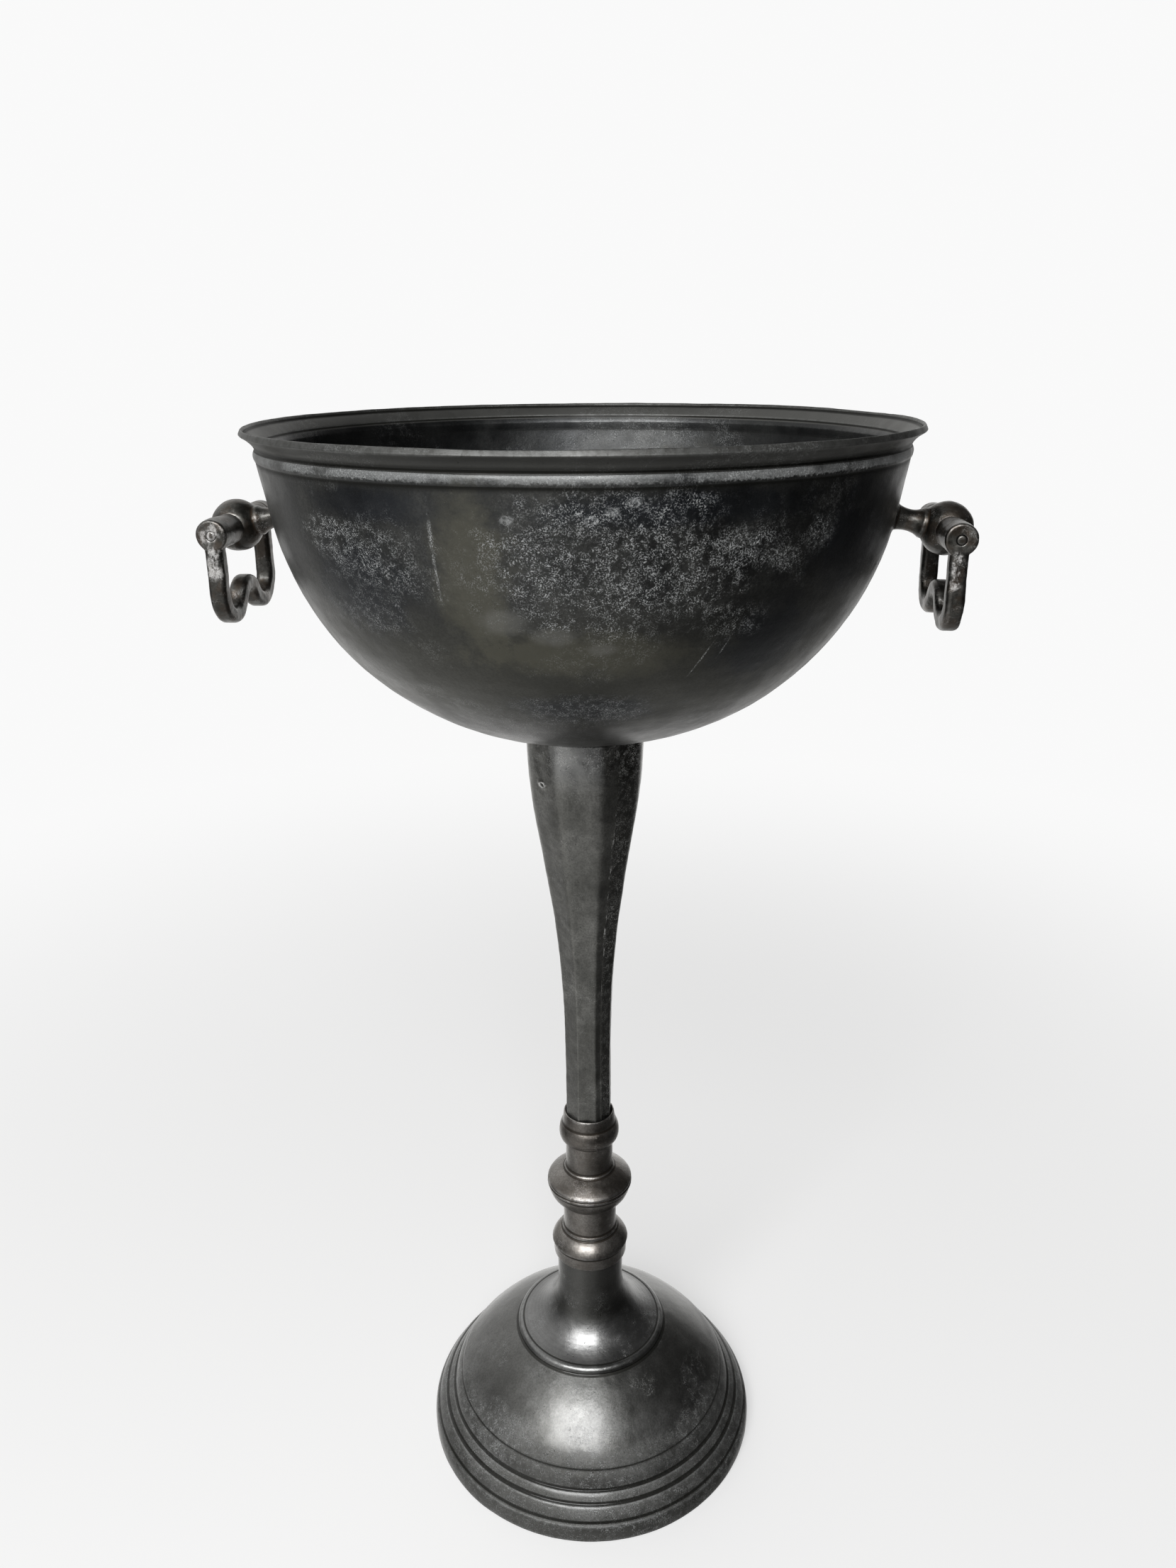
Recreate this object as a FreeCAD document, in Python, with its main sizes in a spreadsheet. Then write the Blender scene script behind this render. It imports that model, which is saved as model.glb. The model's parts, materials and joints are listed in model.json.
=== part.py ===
"""Champagne bucket stand: a cast bowl with two swinging handles on a pedestal.

Millimetres, +Z up. The origin is on the floor, on the axis of the foot, and the
two handles are on the X axis. A threaded tie rod clamps foot, baluster, stem
and bowl together.
"""
import FreeCAD, Part
import math
import os
import Sketcher

Vector = FreeCAD.Vector
DOC = FreeCAD.newDocument("ChampagneBucketStand")
DIM = DOC.addObject("Spreadsheet::Sheet", "Dim")

SIZES = {
    # Bowl: a shallow bottom arc, a side arc, a straight wall, a bead and a flared lip
    "bowl_base": 562,
    "bowl_wall": 4,
    "bottom_arc": 216.2,
    "bottom_turn": 20.6,
    "side_arc": 166,
    "side_turn": 79.8,
    "bead_radius": 186.6,
    "bead_low": 733,
    "bead_high": 738.4,
    "bead_arc": 3.6,
    "flare_arc": 15,
    "rim_radius": 195,
    "rim_low": 747.6,
    "rim_crest": 751,
    "lip_width": 3.6,
    "lip_arc": 2.1,
    "seat_radius": 39,
    "seat_height": 563,
    "well_radius": 24,
    "well_height": 570,
    "rod_hole": 5.6,
    # Octagonal stem: half widths across the flats
    "stem_top": 563,
    "stem_wide": 37.3,
    "stem_waist": 293,
    "stem_narrow": 15.4,
    "stem_bottom": 270,
    "stem_bore": 8,
    # Turned baluster
    "baluster_base": 152.7,
    "baluster_bore": 6.5,
    "socket_radius": 16.8,
    "lip_radius": 17.9,
    "lip_edge": 274.8,
    "lip_crest": 275.4,
    "ring_edge_radius": 19.3,
    "ring_edge": 267,
    "ring_radius": 21.5,
    "ring_middle": 260.8,
    "ring_foot_radius": 20.4,
    "ring_foot": 254,
    "ring_root": 251.6,
    "ring_arc": 12,
    "neck_radius": 16.9,
    "collar_radius": 18.4,
    "collar_top": 229,
    "collar_base": 227,
    "knob_top_radius": 29.7,
    "knob_top": 219.4,
    "knob_top_arc": 48,
    "bead_top": 218.8,
    "bead_split": 216.4,
    "bead_base": 213.8,
    "bead_root": 30.1,
    "bead_round": 1.5,
    "knob_foot_radius": 23.6,
    "knob_foot": 200.8,
    "knob_arc": 21,
    "waist_radius": 19.4,
    "waist_top": 199.4,
    "waist_base": 176.8,
    "shoulder_bead_radius": 20.4,
    "shoulder_bead_base": 173.6,
    "shoulder_bead_arc": 3,
    "shoulder_radius": 28.2,
    "shoulder_edge": 163.8,
    "shoulder_arc": 20,
    "band_top_radius": 27.4,
    "band_top": 162.6,
    "band_radius": 26.8,
    # Foot casting
    "foot_neck": 24.2,
    "flare_top": 128,
    "flare_radius": 51.6,
    "flare_low": 88.6,
    "cavetto_arc": 42,
    "foot_bead_radius": 55.6,
    "foot_bead_low": 84,
    "foot_bead_arc": 2.7,
    "dome_top_radius": 57.4,
    "dome_top": 82.8,
    "dome_radius": 100,
    "dome_low": 45.2,
    "dome_arc": 150,
    "groove_depth": 1.8,
    "step_one_radius": 107.6,
    "step_one": 30.8,
    "step_two_radius": 113.6,
    "step_two": 24.6,
    "step_three_radius": 119.8,
    "step_three": 15.2,
    "step_arc": 24,
    "flange_radius": 122.7,
    "flange_bead": 4,
    "pad_height": 1,
    "flange_width": 15,
    "skirt_inner_radius": 94.8,
    "skirt_inner": 42,
    "skirt_arc": 140,
    "throat_radius": 49,
    "throat": 81.4,
    "throat_arc": 48,
    "boss_low_radius": 19,
    "boss_low": 112,
    "skirt_step": 9,
    # Pads under the foot
    "pad_radius": 6,
    "pad_ring": 115,
    # Tie rod and its hardware
    "rod_radius": 5,
    "rod_bottom": 92,
    "rod_top": 583,
    "rod_chamfer": 1,
    "thread_gap": 0.1,
    "hole_gap": 0.4,
    "nut_flats": 17,
    "nut_height": 8,
    "hex_slope": 1.6,
    "hex_crown": 0.96,
    "cap_height": 6.2,
    "cap_radius": 7.4,
    "seal_radius": 17,
    "seal_height": 2,
    "washer_radius": 15,
    "washer_height": 2,
    "spring_radius": 9,
    "spring_height": 2.6,
    "spring_split": 1.6,
    # Handle boss, along its own axis outwards from the bowl wall
    "boss_tilt": 12,
    "flange_round": 12.2,
    "flange_thick": 3.2,
    "spool_root_radius": 7.8,
    "spool_radius": 6.2,
    "spool_middle": 9.6,
    "spool_end": 18.6,
    "spool_end_radius": 8.8,
    "spool_root_arc": 18.6,
    "spool_end_arc": 14.6,
    "ball_radius": 15.6,
    "ball_reach": 33.8,
    "ball_flat": 13.3,
    "spot_radius": 9.2,
    "spot_depth": 10,
    "bolt_radius": 3,
    "bolt_hole": 3.3,
    "bolt_depth": 15,
    "bolt_reach": 14,
    "bolt_flats": 10,
    "bolt_head": 4.4,
    "boss_seal_gap": 0.3,
    "boss_seal_radius": 9,
    "boss_seal_height": 1.5,
    "boss_washer_radius": 8.2,
    "boss_washer_height": 1.3,
    # Handle loop, hanging from its hinge axis
    "pin_radius": 2.8,
    "pin_point": 0.3,
    "pin_gap": 0.06,
    "eye_radius": 9.4,
    "loop_half_width": 45.5,
    "arm_thick": 10,
    "arm_depth": 10.6,
    "arm_round": 3,
    "trunnion_radius": 9.1,
    "trunnion_bevel": 1.6,
    "trunnion_gap": 0.35,
    "lobe_drop": 34.6,
    "lobe_arc": 15.5,
    "cusp_drop": 35.2,
    "eye_round": 1.4,
    "eye_arc": 1.7,
}


def fill_sheet():
    """Write each size to a row of the sheet, with its name as the alias."""
    for row, (name, size) in enumerate(SIZES.items(), start=1):
        DIM.set("A%d" % row, name)
        DIM.set("B%d" % row, str(size))
        DIM.setAlias("B%d" % row, name)
    DOC.recompute()


def number(expression):
    """The value of an expression on the sheet."""
    return float(DIM.evalExpression(str(expression)))


# ---------------------------------------------------------------- sketch helpers

def new_body(label):
    body = DOC.addObject("PartDesign::Body", label)
    body.Label = label
    return body


def new_sketch(body, plane, name):
    """A sketch on one of the body's own origin planes."""
    sketch = body.newObject("Sketcher::SketchObject", name)
    origin_plane = [item for item in body.Origin.OriginFeatures if item.Role == plane][0]
    sketch.AttachmentSupport = [(origin_plane, "")]
    sketch.MapMode = "FlatFace"
    return sketch


def bind(sketch, kind, references, expression):
    """Add a dimension to a sketch and tie it to the sheet."""
    value = number(expression)
    index = sketch.addConstraint(Sketcher.Constraint(kind, *references, value))
    sketch.setExpression("Constraints[%d]" % index, str(expression))


def fix_point(sketch, geometry, position, across, along):
    """Dimension a point from the sketch's origin, or put it on an axis."""
    for kind, expression, axis in (("DistanceX", across, -2), ("DistanceY", along, -1)):
        if number(expression) == 0:
            sketch.addConstraint(Sketcher.Constraint("PointOnObject", geometry, position, axis))
        else:
            bind(sketch, kind, (-1, 1, geometry, position), expression)


def arc_through(start, end, radius):
    """The short arc from start to end; a positive radius turns to the left."""
    chord = end - start
    middle = (start + end) * 0.5
    rise = math.sqrt(max(radius * radius - chord.Length ** 2 / 4, 0))
    left = Vector(-chord.y, chord.x, 0).normalize()
    centre = middle + left * math.copysign(rise, radius)
    first, last = (start, end) if radius > 0 else (end, start)
    angles = [math.atan2(point.y - centre.y, point.x - centre.x) for point in (first, last)]
    circle = Part.Circle(centre, Vector(0, 0, 1), abs(radius))
    return Part.ArcOfCircle(circle, angles[0], angles[1])


def draw_outline(sketch, steps, closed=True):
    """Draw runs and arcs from point to point, each point bound to the sheet.

    A step is (across, along) for a straight run to that point, or
    (across, along, radius, turn) for an arc to it, where turn is 1 to the left
    and -1 to the right. The first step is the starting point, and in a closed
    outline the last run goes back to it.
    """
    points = [Vector(number(step[0]), number(step[1]), 0) for step in steps]
    runs = list(zip(range(len(steps)), range(1, len(steps))))
    if closed:
        runs.append((len(steps) - 1, 0))
    ends = []
    for first, last in runs:
        step = steps[last]
        if len(step) == 4:
            arc = arc_through(points[first], points[last], number(step[2]) * step[3])
            index = sketch.addGeometry(arc, False)
            bind(sketch, "Radius", (index,), step[2])
            order = (1, 2) if step[3] > 0 else (2, 1)
        else:
            index = sketch.addGeometry(Part.LineSegment(points[first], points[last]), False)
            order = (1, 2)
        fix_point(sketch, index, order[0], steps[first][0], steps[first][1])
        ends.append((index, order))
    for (index, order), (after, after_order) in zip(ends, ends[1:]):
        sketch.addConstraint(Sketcher.Constraint("Coincident", index, order[1], after, after_order[0]))
    if closed:
        after, after_order = ends[0]
        index, order = ends[-1]
        sketch.addConstraint(Sketcher.Constraint("Coincident", index, order[1], after, after_order[0]))
    else:
        index, order = ends[-1]
        fix_point(sketch, index, order[1], steps[-1][0], steps[-1][1])


def draw_circle(sketch, across, along, radius):
    centre = Vector(number(across), number(along), 0)
    index = sketch.addGeometry(Part.Circle(centre, Vector(0, 0, 1), number(radius)), False)
    bind(sketch, "Radius", (index,), radius)
    fix_point(sketch, index, 3, across, along)


def draw_polygon(sketch, sides, corner_radius):
    """A regular polygon about the sketch's origin with its flats square to X and Y."""
    half_step = math.pi / sides
    corners = []
    for index in range(sides):
        angle = half_step * (2 * index + 1)
        corners.append(Vector(math.cos(angle), math.sin(angle), 0) * number(corner_radius))
    guide = sketch.addGeometry(Part.Circle(Vector(), Vector(0, 0, 1), number(corner_radius)), True)
    sketch.addConstraint(Sketcher.Constraint("Coincident", guide, 3, -1, 1))
    bind(sketch, "Radius", (guide,), corner_radius)
    edges = []
    for start, end in zip(corners, corners[1:] + corners[:1]):
        edges.append(sketch.addGeometry(Part.LineSegment(start, end), False))
    for edge, after in zip(edges, edges[1:] + edges[:1]):
        sketch.addConstraint(Sketcher.Constraint("Coincident", edge, 2, after, 1))
        sketch.addConstraint(Sketcher.Constraint("PointOnObject", edge, 2, guide))
    for edge in edges[1:]:
        sketch.addConstraint(Sketcher.Constraint("Equal", edges[0], edge))
    sketch.addConstraint(Sketcher.Constraint("Vertical", edges[-1]))


# --------------------------------------------------------------- feature helpers

def revolve(body, sketch, axis, name):
    feature = body.newObject("PartDesign::Revolution", name)
    feature.Profile = sketch
    feature.ReferenceAxis = (sketch, [axis])
    feature.Angle = 360
    return feature


def turned(label, steps):
    """A body turned about Z from a half section of (radius, height) steps."""
    body = new_body(label)
    sketch = new_sketch(body, "XZ_Plane", label + "_section")
    draw_outline(sketch, steps)
    revolve(body, sketch, "V_Axis", label + "_turned")
    DOC.recompute()
    return body


def pocket_through(body, sketch, name):
    """Cut the sketch through the whole body both ways, and make sure that it cuts."""
    before = body.Shape.Volume
    feature = body.newObject("PartDesign::Pocket", name)
    feature.Profile = sketch
    feature.Type = "ThroughAll"
    feature.Midplane = True
    DOC.recompute()
    if not body.Shape.Volume < before:
        raise RuntimeError(name + " cuts nothing")
    return feature


def pocket_depth(body, sketch, depth, name, backwards=False):
    """Cut the sketch to a depth, and make sure that it cuts."""
    before = body.Shape.Volume
    feature = body.newObject("PartDesign::Pocket", name)
    feature.Profile = sketch
    feature.Length = number(depth)
    feature.setExpression("Length", depth)
    feature.Reversed = backwards
    DOC.recompute()
    if not body.Shape.Volume < before:
        raise RuntimeError(name + " cuts nothing")
    return feature


def flat_ring(label, outer, inner, height):
    """A washer lying on z = 0 of its own frame."""
    return turned(label, [(inner, "0"), (outer, "0"), (outer, height), (inner, height)])


def place(item, x="0", y="0", z="0", turn=None):
    """Put a sub-part in its place; turn is an axis and an angle in degrees."""
    rotation = FreeCAD.Rotation(turn[0], turn[1]) if turn else FreeCAD.Rotation()
    item.Placement = FreeCAD.Placement(Vector(number(x), number(y), number(z)), rotation)
    item.setExpression("Placement.Base.x", x)
    item.setExpression("Placement.Base.y", y)
    item.setExpression("Placement.Base.z", z)


# ------------------------------------------------------------------------- bowl

SIDE_X = "(Dim.bottom_arc - Dim.side_arc) * sin(Dim.bottom_turn)"
SIDE_Z = "(Dim.bowl_base + Dim.bottom_arc - (Dim.bottom_arc - Dim.side_arc) * cos(Dim.bottom_turn))"


def bottom_point(radius, angle):
    """A point on an arc about the centre of the bowl's bottom arc."""
    return (
        "(%s) * sin(%s)" % (radius, angle),
        "Dim.bowl_base + Dim.bottom_arc - (%s) * cos(%s)" % (radius, angle),
    )


def side_point(radius, angle):
    """A point on an arc about the centre of the bowl's side arc."""
    return (
        "%s + (%s) * sin(%s)" % (SIDE_X, radius, angle),
        "%s - (%s) * cos(%s)" % (SIDE_Z, radius, angle),
    )


def make_bowl():
    """The bowl, with a seat for the stem, a well for the cap nut and two bolt holes."""
    inner_bottom = "Dim.bottom_arc - Dim.bowl_wall"
    inner_side = "Dim.side_arc - Dim.bowl_wall"
    seat_angle = "asin(Dim.seat_radius / Dim.bottom_arc)"
    well_angle = "asin(Dim.well_radius / (%s))" % inner_bottom
    steps = [
        ("Dim.rod_hole", "Dim.seat_height"),
        ("Dim.seat_radius", "Dim.seat_height"),
        bottom_point("Dim.bottom_arc", seat_angle),
        bottom_point("Dim.bottom_arc", "Dim.bottom_turn") + ("Dim.bottom_arc", 1),
        side_point("Dim.side_arc", "Dim.side_turn") + ("Dim.side_arc", 1),
        ("Dim.bead_radius", "Dim.bead_low"),
        ("Dim.bead_radius", "Dim.bead_high", "Dim.bead_arc", 1),
        ("Dim.rim_radius - Dim.lip_arc / 4", "Dim.rim_low", "Dim.flare_arc", -1),
        ("Dim.rim_radius - Dim.lip_width / 2", "Dim.rim_crest", "Dim.lip_arc", 1),
        ("Dim.rim_radius - Dim.lip_width", "Dim.rim_low + Dim.lip_arc / 2", "Dim.lip_arc", 1),
        ("Dim.bead_radius - Dim.bowl_wall", "Dim.bead_high", "Dim.flare_arc + Dim.lip_width", 1),
        ("Dim.bead_radius - Dim.bowl_wall", "Dim.bead_low"),
        side_point(inner_side, "Dim.side_turn"),
        side_point(inner_side, "Dim.bottom_turn") + (inner_side, -1),
        bottom_point(inner_bottom, well_angle) + (inner_bottom, -1),
        ("Dim.well_radius", "Dim.well_height"),
        ("Dim.rod_hole", "Dim.well_height"),
    ]
    bowl = turned("bowl", steps)
    hole = new_sketch(bowl, "YZ_Plane", "bowl_bolt_hole")
    tilt_hole_sketch(hole)
    draw_circle(hole, "0", "0", "Dim.bolt_hole")
    pocket = pocket_depth(bowl, hole, "Dim.bowl_wall * 3", "bowl_bolt_pocket")
    mirror = bowl.newObject("PartDesign::Mirrored", "bowl_bolt_mirror")
    mirror.Originals = [pocket]
    mirror.MirrorPlane = (hole_mirror_plane(bowl), [""])
    bowl.Tip = mirror
    return bowl


def hole_mirror_plane(body):
    return [item for item in body.Origin.OriginFeatures if item.Role == "YZ_Plane"][0]


BOSS_X = side_point("Dim.side_arc", "90 - Dim.boss_tilt")[0]
BOSS_Z = side_point("Dim.side_arc", "90 - Dim.boss_tilt")[1]


def along_boss(reach):
    """A point on the right handle's boss axis, reach outwards from the bowl wall."""
    return (
        "%s + (%s) * cos(Dim.boss_tilt)" % (BOSS_X, reach),
        "%s - (%s) * sin(Dim.boss_tilt)" % (BOSS_Z, reach),
    )


def tilt_hole_sketch(sketch):
    """Stand a sketch square to the boss axis, a little outside the bowl wall."""
    x, z = along_boss("Dim.bowl_wall / 2")
    sketch.AttachmentOffset = FreeCAD.Placement(
        Vector(0, number(z), number(x)),
        FreeCAD.Rotation(Vector(1, 0, 0), number("Dim.boss_tilt")),
    )
    sketch.setExpression("AttachmentOffset.Base.y", z)
    sketch.setExpression("AttachmentOffset.Base.z", x)


# ------------------------------------------------------------------------- stem

STEM_SECTIONS = 8
STEM_SWELL = 1.55


def stem_width(share):
    """Half width across the flats at a share of the way from waist to top."""
    swell = "(1 - cos(180 * %.4f)) / 2" % share ** STEM_SWELL
    return "Dim.stem_narrow + (Dim.stem_wide - Dim.stem_narrow) * %s" % swell


def stem_section(body, index, height, half_width):
    sketch = new_sketch(body, "XY_Plane", "stem_section_%d" % index)
    sketch.AttachmentOffset = FreeCAD.Placement(Vector(0, 0, number(height)), FreeCAD.Rotation())
    sketch.setExpression("AttachmentOffset.Base.z", height)
    draw_polygon(sketch, 8, "(%s) / cos(180 / 8)" % half_width)
    return sketch


def make_stem():
    """An octagonal column that swells towards the bowl, with a bore for the tie rod."""
    body = new_body("stem")
    sections = [stem_section(body, 0, "Dim.stem_bottom", "Dim.stem_narrow")]
    for index in range(STEM_SECTIONS):
        share = index / (STEM_SECTIONS - 1)
        height = "Dim.stem_waist + (Dim.stem_top - Dim.stem_waist) * %.4f" % share
        sections.append(stem_section(body, index + 1, height, stem_width(share)))
    loft = body.newObject("PartDesign::AdditiveLoft", "stem_loft")
    loft.Profile = sections[0]
    loft.Sections = sections[1:]
    loft.Ruled = False
    DOC.recompute()
    bore = new_sketch(body, "XY_Plane", "stem_bore")
    draw_circle(bore, "0", "0", "Dim.stem_bore")
    pocket_through(body, bore, "stem_bore_pocket")
    return body


# --------------------------------------------------------------------- baluster

def make_baluster():
    """A turned casting: socket ring, neck, beaded knob, waist and shoulder knob."""
    steps = [
        ("Dim.baluster_bore", "Dim.baluster_base"),
        ("Dim.band_radius", "Dim.baluster_base"),
        ("Dim.band_top_radius", "Dim.band_top"),
        ("Dim.shoulder_radius", "Dim.shoulder_edge"),
        ("Dim.shoulder_bead_radius", "Dim.shoulder_bead_base", "Dim.shoulder_arc", 1),
        ("Dim.waist_radius", "Dim.waist_base", "Dim.shoulder_bead_arc", 1),
        ("Dim.waist_radius", "Dim.waist_top"),
        ("Dim.knob_foot_radius", "Dim.knob_foot"),
        ("Dim.bead_root", "Dim.bead_base", "Dim.knob_arc", 1),
        ("Dim.bead_root", "Dim.bead_split", "Dim.bead_round", 1),
        ("Dim.bead_root", "Dim.bead_top", "Dim.bead_round", 1),
        ("Dim.knob_top_radius", "Dim.knob_top"),
        ("Dim.collar_radius", "Dim.collar_base", "Dim.knob_top_arc", 1),
        ("Dim.neck_radius", "Dim.collar_top", "Dim.bead_round * 2", 1),
        ("Dim.neck_radius", "Dim.ring_root"),
        ("Dim.ring_foot_radius", "Dim.ring_foot"),
        ("Dim.ring_radius", "Dim.ring_middle", "Dim.ring_arc", 1),
        ("Dim.ring_edge_radius", "Dim.ring_edge", "Dim.ring_arc", 1),
        ("Dim.lip_radius", "Dim.lip_edge"),
        ("Dim.socket_radius", "Dim.lip_crest", "Dim.bead_round / 2", 1),
        ("Dim.socket_radius", "Dim.stem_bottom"),
        ("Dim.baluster_bore", "Dim.stem_bottom"),
    ]
    return turned("baluster", steps)


# ------------------------------------------------------------------------- foot

def make_foot():
    """A bell shaped hollow casting with turned steps and a boss for the tie rod."""
    ledge = " + Dim.groove_depth / 2"
    drop = " - Dim.groove_depth / 2"
    arc = "Dim.step_arc"
    steps = [
        ("Dim.rod_hole", "Dim.boss_low"),
        ("Dim.boss_low_radius", "Dim.boss_low"),
        ("Dim.throat_radius", "Dim.throat", "Dim.throat_arc", 1),
        ("Dim.skirt_inner_radius", "Dim.skirt_inner", "Dim.skirt_arc", -1),
        ("Dim.flange_radius - Dim.flange_width", "Dim.skirt_step"),
        ("Dim.flange_radius - Dim.flange_width", "Dim.pad_height"),
        ("Dim.flange_radius", "Dim.pad_height"),
        ("Dim.flange_radius", "Dim.flange_bead"),
        ("Dim.step_three_radius + Dim.groove_depth", "Dim.step_three - Dim.groove_depth", arc, 1),
        ("Dim.step_three_radius", "Dim.step_three"),
        ("Dim.step_two_radius" + ledge, "Dim.step_two" + drop, arc, 1),
        ("Dim.step_two_radius" + drop, "Dim.step_two"),
        ("Dim.step_one_radius" + ledge, "Dim.step_one" + drop, arc, 1),
        ("Dim.step_one_radius" + drop, "Dim.step_one"),
        ("Dim.dome_radius" + ledge, "Dim.dome_low - Dim.groove_depth", arc, 1),
        ("Dim.dome_radius", "Dim.dome_low"),
        ("Dim.dome_top_radius", "Dim.dome_top", "Dim.dome_arc", 1),
        ("Dim.foot_bead_radius", "Dim.foot_bead_low"),
        ("Dim.flare_radius", "Dim.flare_low", "Dim.foot_bead_arc + 1", 1),
        ("Dim.foot_neck", "Dim.flare_top", "Dim.cavetto_arc", -1),
        ("Dim.foot_neck", "Dim.baluster_base"),
        ("Dim.rod_hole", "Dim.baluster_base"),
    ]
    return turned("foot", steps)


def make_pads():
    """Four rubber pads under the flange of the foot, as one group."""
    body = new_body("foot_pads")
    sketch = new_sketch(body, "XY_Plane", "foot_pads_section")
    for quarter in range(4):
        angle = 45 + 90 * quarter
        draw_circle(
            sketch,
            "Dim.pad_ring * cos(%d)" % angle,
            "Dim.pad_ring * sin(%d)" % angle,
            "Dim.pad_radius",
        )
    pad = body.newObject("PartDesign::Pad", "foot_pad")
    pad.Profile = sketch
    pad.Length = number("Dim.pad_height")
    pad.setExpression("Length", "Dim.pad_height")
    DOC.recompute()
    return body


# --------------------------------------------------------------------- hardware

def hexagon(name, flats, height):
    """A hexagonal prism with its corners turned off at the top."""
    prism = DOC.addObject("Part::Prism", name + "_prism")
    prism.Polygon = 6
    prism.setExpression("Circumradius", "%s / 2 / cos(30)" % flats)
    prism.setExpression("Height", height)
    cone = DOC.addObject("Part::Cone", name + "_cone")
    cone.setExpression("Radius1", "%s / 2 / cos(30) + (%s) * Dim.hex_slope" % (flats, height))
    cone.setExpression("Radius2", "%s / 2 * Dim.hex_crown" % flats)
    cone.setExpression("Height", height)
    common = DOC.addObject("Part::Common", name + "_chamfered")
    common.Base = prism
    common.Tool = cone
    return common


def cylinder(name, radius, height, z="0"):
    item = DOC.addObject("Part::Cylinder", name)
    item.setExpression("Radius", radius)
    item.setExpression("Height", height)
    item.setExpression("Placement.Base.z", z)
    return item


def cut(label, base, tool):
    item = DOC.addObject("Part::Cut", label)
    item.Base = base
    item.Tool = tool
    item.Label = label
    return item


def fuse(label, base, tool):
    item = DOC.addObject("Part::Fuse", label)
    item.Base = base
    item.Tool = tool
    item.Label = label
    return item


def make_cap_nut():
    """A domed hexagon nut, blind from below, that closes the bowl's well."""
    hexagonal = hexagon("cap_nut", "Dim.nut_flats", "Dim.nut_height")
    dome = DOC.addObject("Part::Sphere", "cap_nut_dome")
    dome.setExpression("Radius", "Dim.cap_radius")
    dome.Angle1 = 0
    dome.setExpression("Placement.Base.z", "Dim.nut_height + Dim.cap_height - Dim.cap_radius")
    body = fuse("cap_nut_solid", hexagonal, dome)
    depth = "Dim.nut_height + Dim.cap_height / 2"
    bore = cylinder("cap_nut_bore", "Dim.rod_radius + Dim.thread_gap", depth)
    nut = cut("bowl_cap_nut", body, bore)
    place(nut, z="Dim.well_height + Dim.seal_height + Dim.washer_height")
    return nut


def make_foot_nut():
    """The plain hexagon nut on the lower end of the tie rod."""
    bore = cylinder("foot_nut_bore", "Dim.rod_radius + Dim.thread_gap", "Dim.nut_height")
    nut = cut("foot_nut", hexagon("foot_nut_body", "Dim.nut_flats", "Dim.nut_height"), bore)
    place(nut, z="Dim.boss_low - Dim.washer_height - Dim.spring_height - Dim.nut_height")
    return nut


def make_spring_washer():
    """A split ring between the foot's washer and its nut."""
    hole = "Dim.rod_radius + Dim.hole_gap"
    ring = flat_ring("foot_spring_washer", "Dim.spring_radius", hole, "Dim.spring_height")
    split = new_sketch(ring, "XY_Plane", "spring_split")
    half = "Dim.spring_split / 2"
    near = "Dim.rod_radius / 2"
    far = "Dim.spring_radius + Dim.spring_split"
    draw_outline(split, [(near, "-" + half), (far, "-" + half), (far, half), (near, half)])
    pocket_through(ring, split, "spring_split_pocket")
    place(ring, z="Dim.boss_low - Dim.washer_height - Dim.spring_height")
    return ring


def make_tie_rod():
    """The rod that clamps foot, baluster, stem and bowl, bevelled at both ends."""
    inner = "Dim.rod_radius - Dim.rod_chamfer"
    return turned("tie_rod", [
        ("0", "Dim.rod_bottom"),
        (inner, "Dim.rod_bottom"),
        ("Dim.rod_radius", "Dim.rod_bottom + Dim.rod_chamfer"),
        ("Dim.rod_radius", "Dim.rod_top - Dim.rod_chamfer"),
        (inner, "Dim.rod_top"),
        ("0", "Dim.rod_top"),
    ])


def make_rod_hardware():
    """Everything on the tie rod apart from the castings."""
    hole = "Dim.rod_radius + Dim.hole_gap"
    seal = flat_ring("bowl_seal", "Dim.seal_radius", hole, "Dim.seal_height")
    place(seal, z="Dim.well_height")
    upper = flat_ring("bowl_washer", "Dim.washer_radius", hole, "Dim.washer_height")
    place(upper, z="Dim.well_height + Dim.seal_height")
    lower = flat_ring("foot_washer", "Dim.washer_radius", hole, "Dim.washer_height")
    place(lower, z="Dim.boss_low - Dim.washer_height")
    return [make_tie_rod(), make_cap_nut(), upper, seal, lower, make_spring_washer(), make_foot_nut()]


# ---------------------------------------------------------------------- handles

SIDES = (("left", -1), ("right", 1))
X_AXIS = Vector(1, 0, 0)
Y_AXIS = Vector(0, 1, 0)


def place_on_boss(item, side, reach="0"):
    """Stand a part's own Z along a boss axis, reach outwards from the bowl wall."""
    x, z = along_boss(reach)
    across = x if side > 0 else "-(%s)" % x
    lean = "%d * (90 + Dim.boss_tilt)" % side
    place(item, x=across, z=z, turn=(Y_AXIS, number(lean)))


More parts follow.
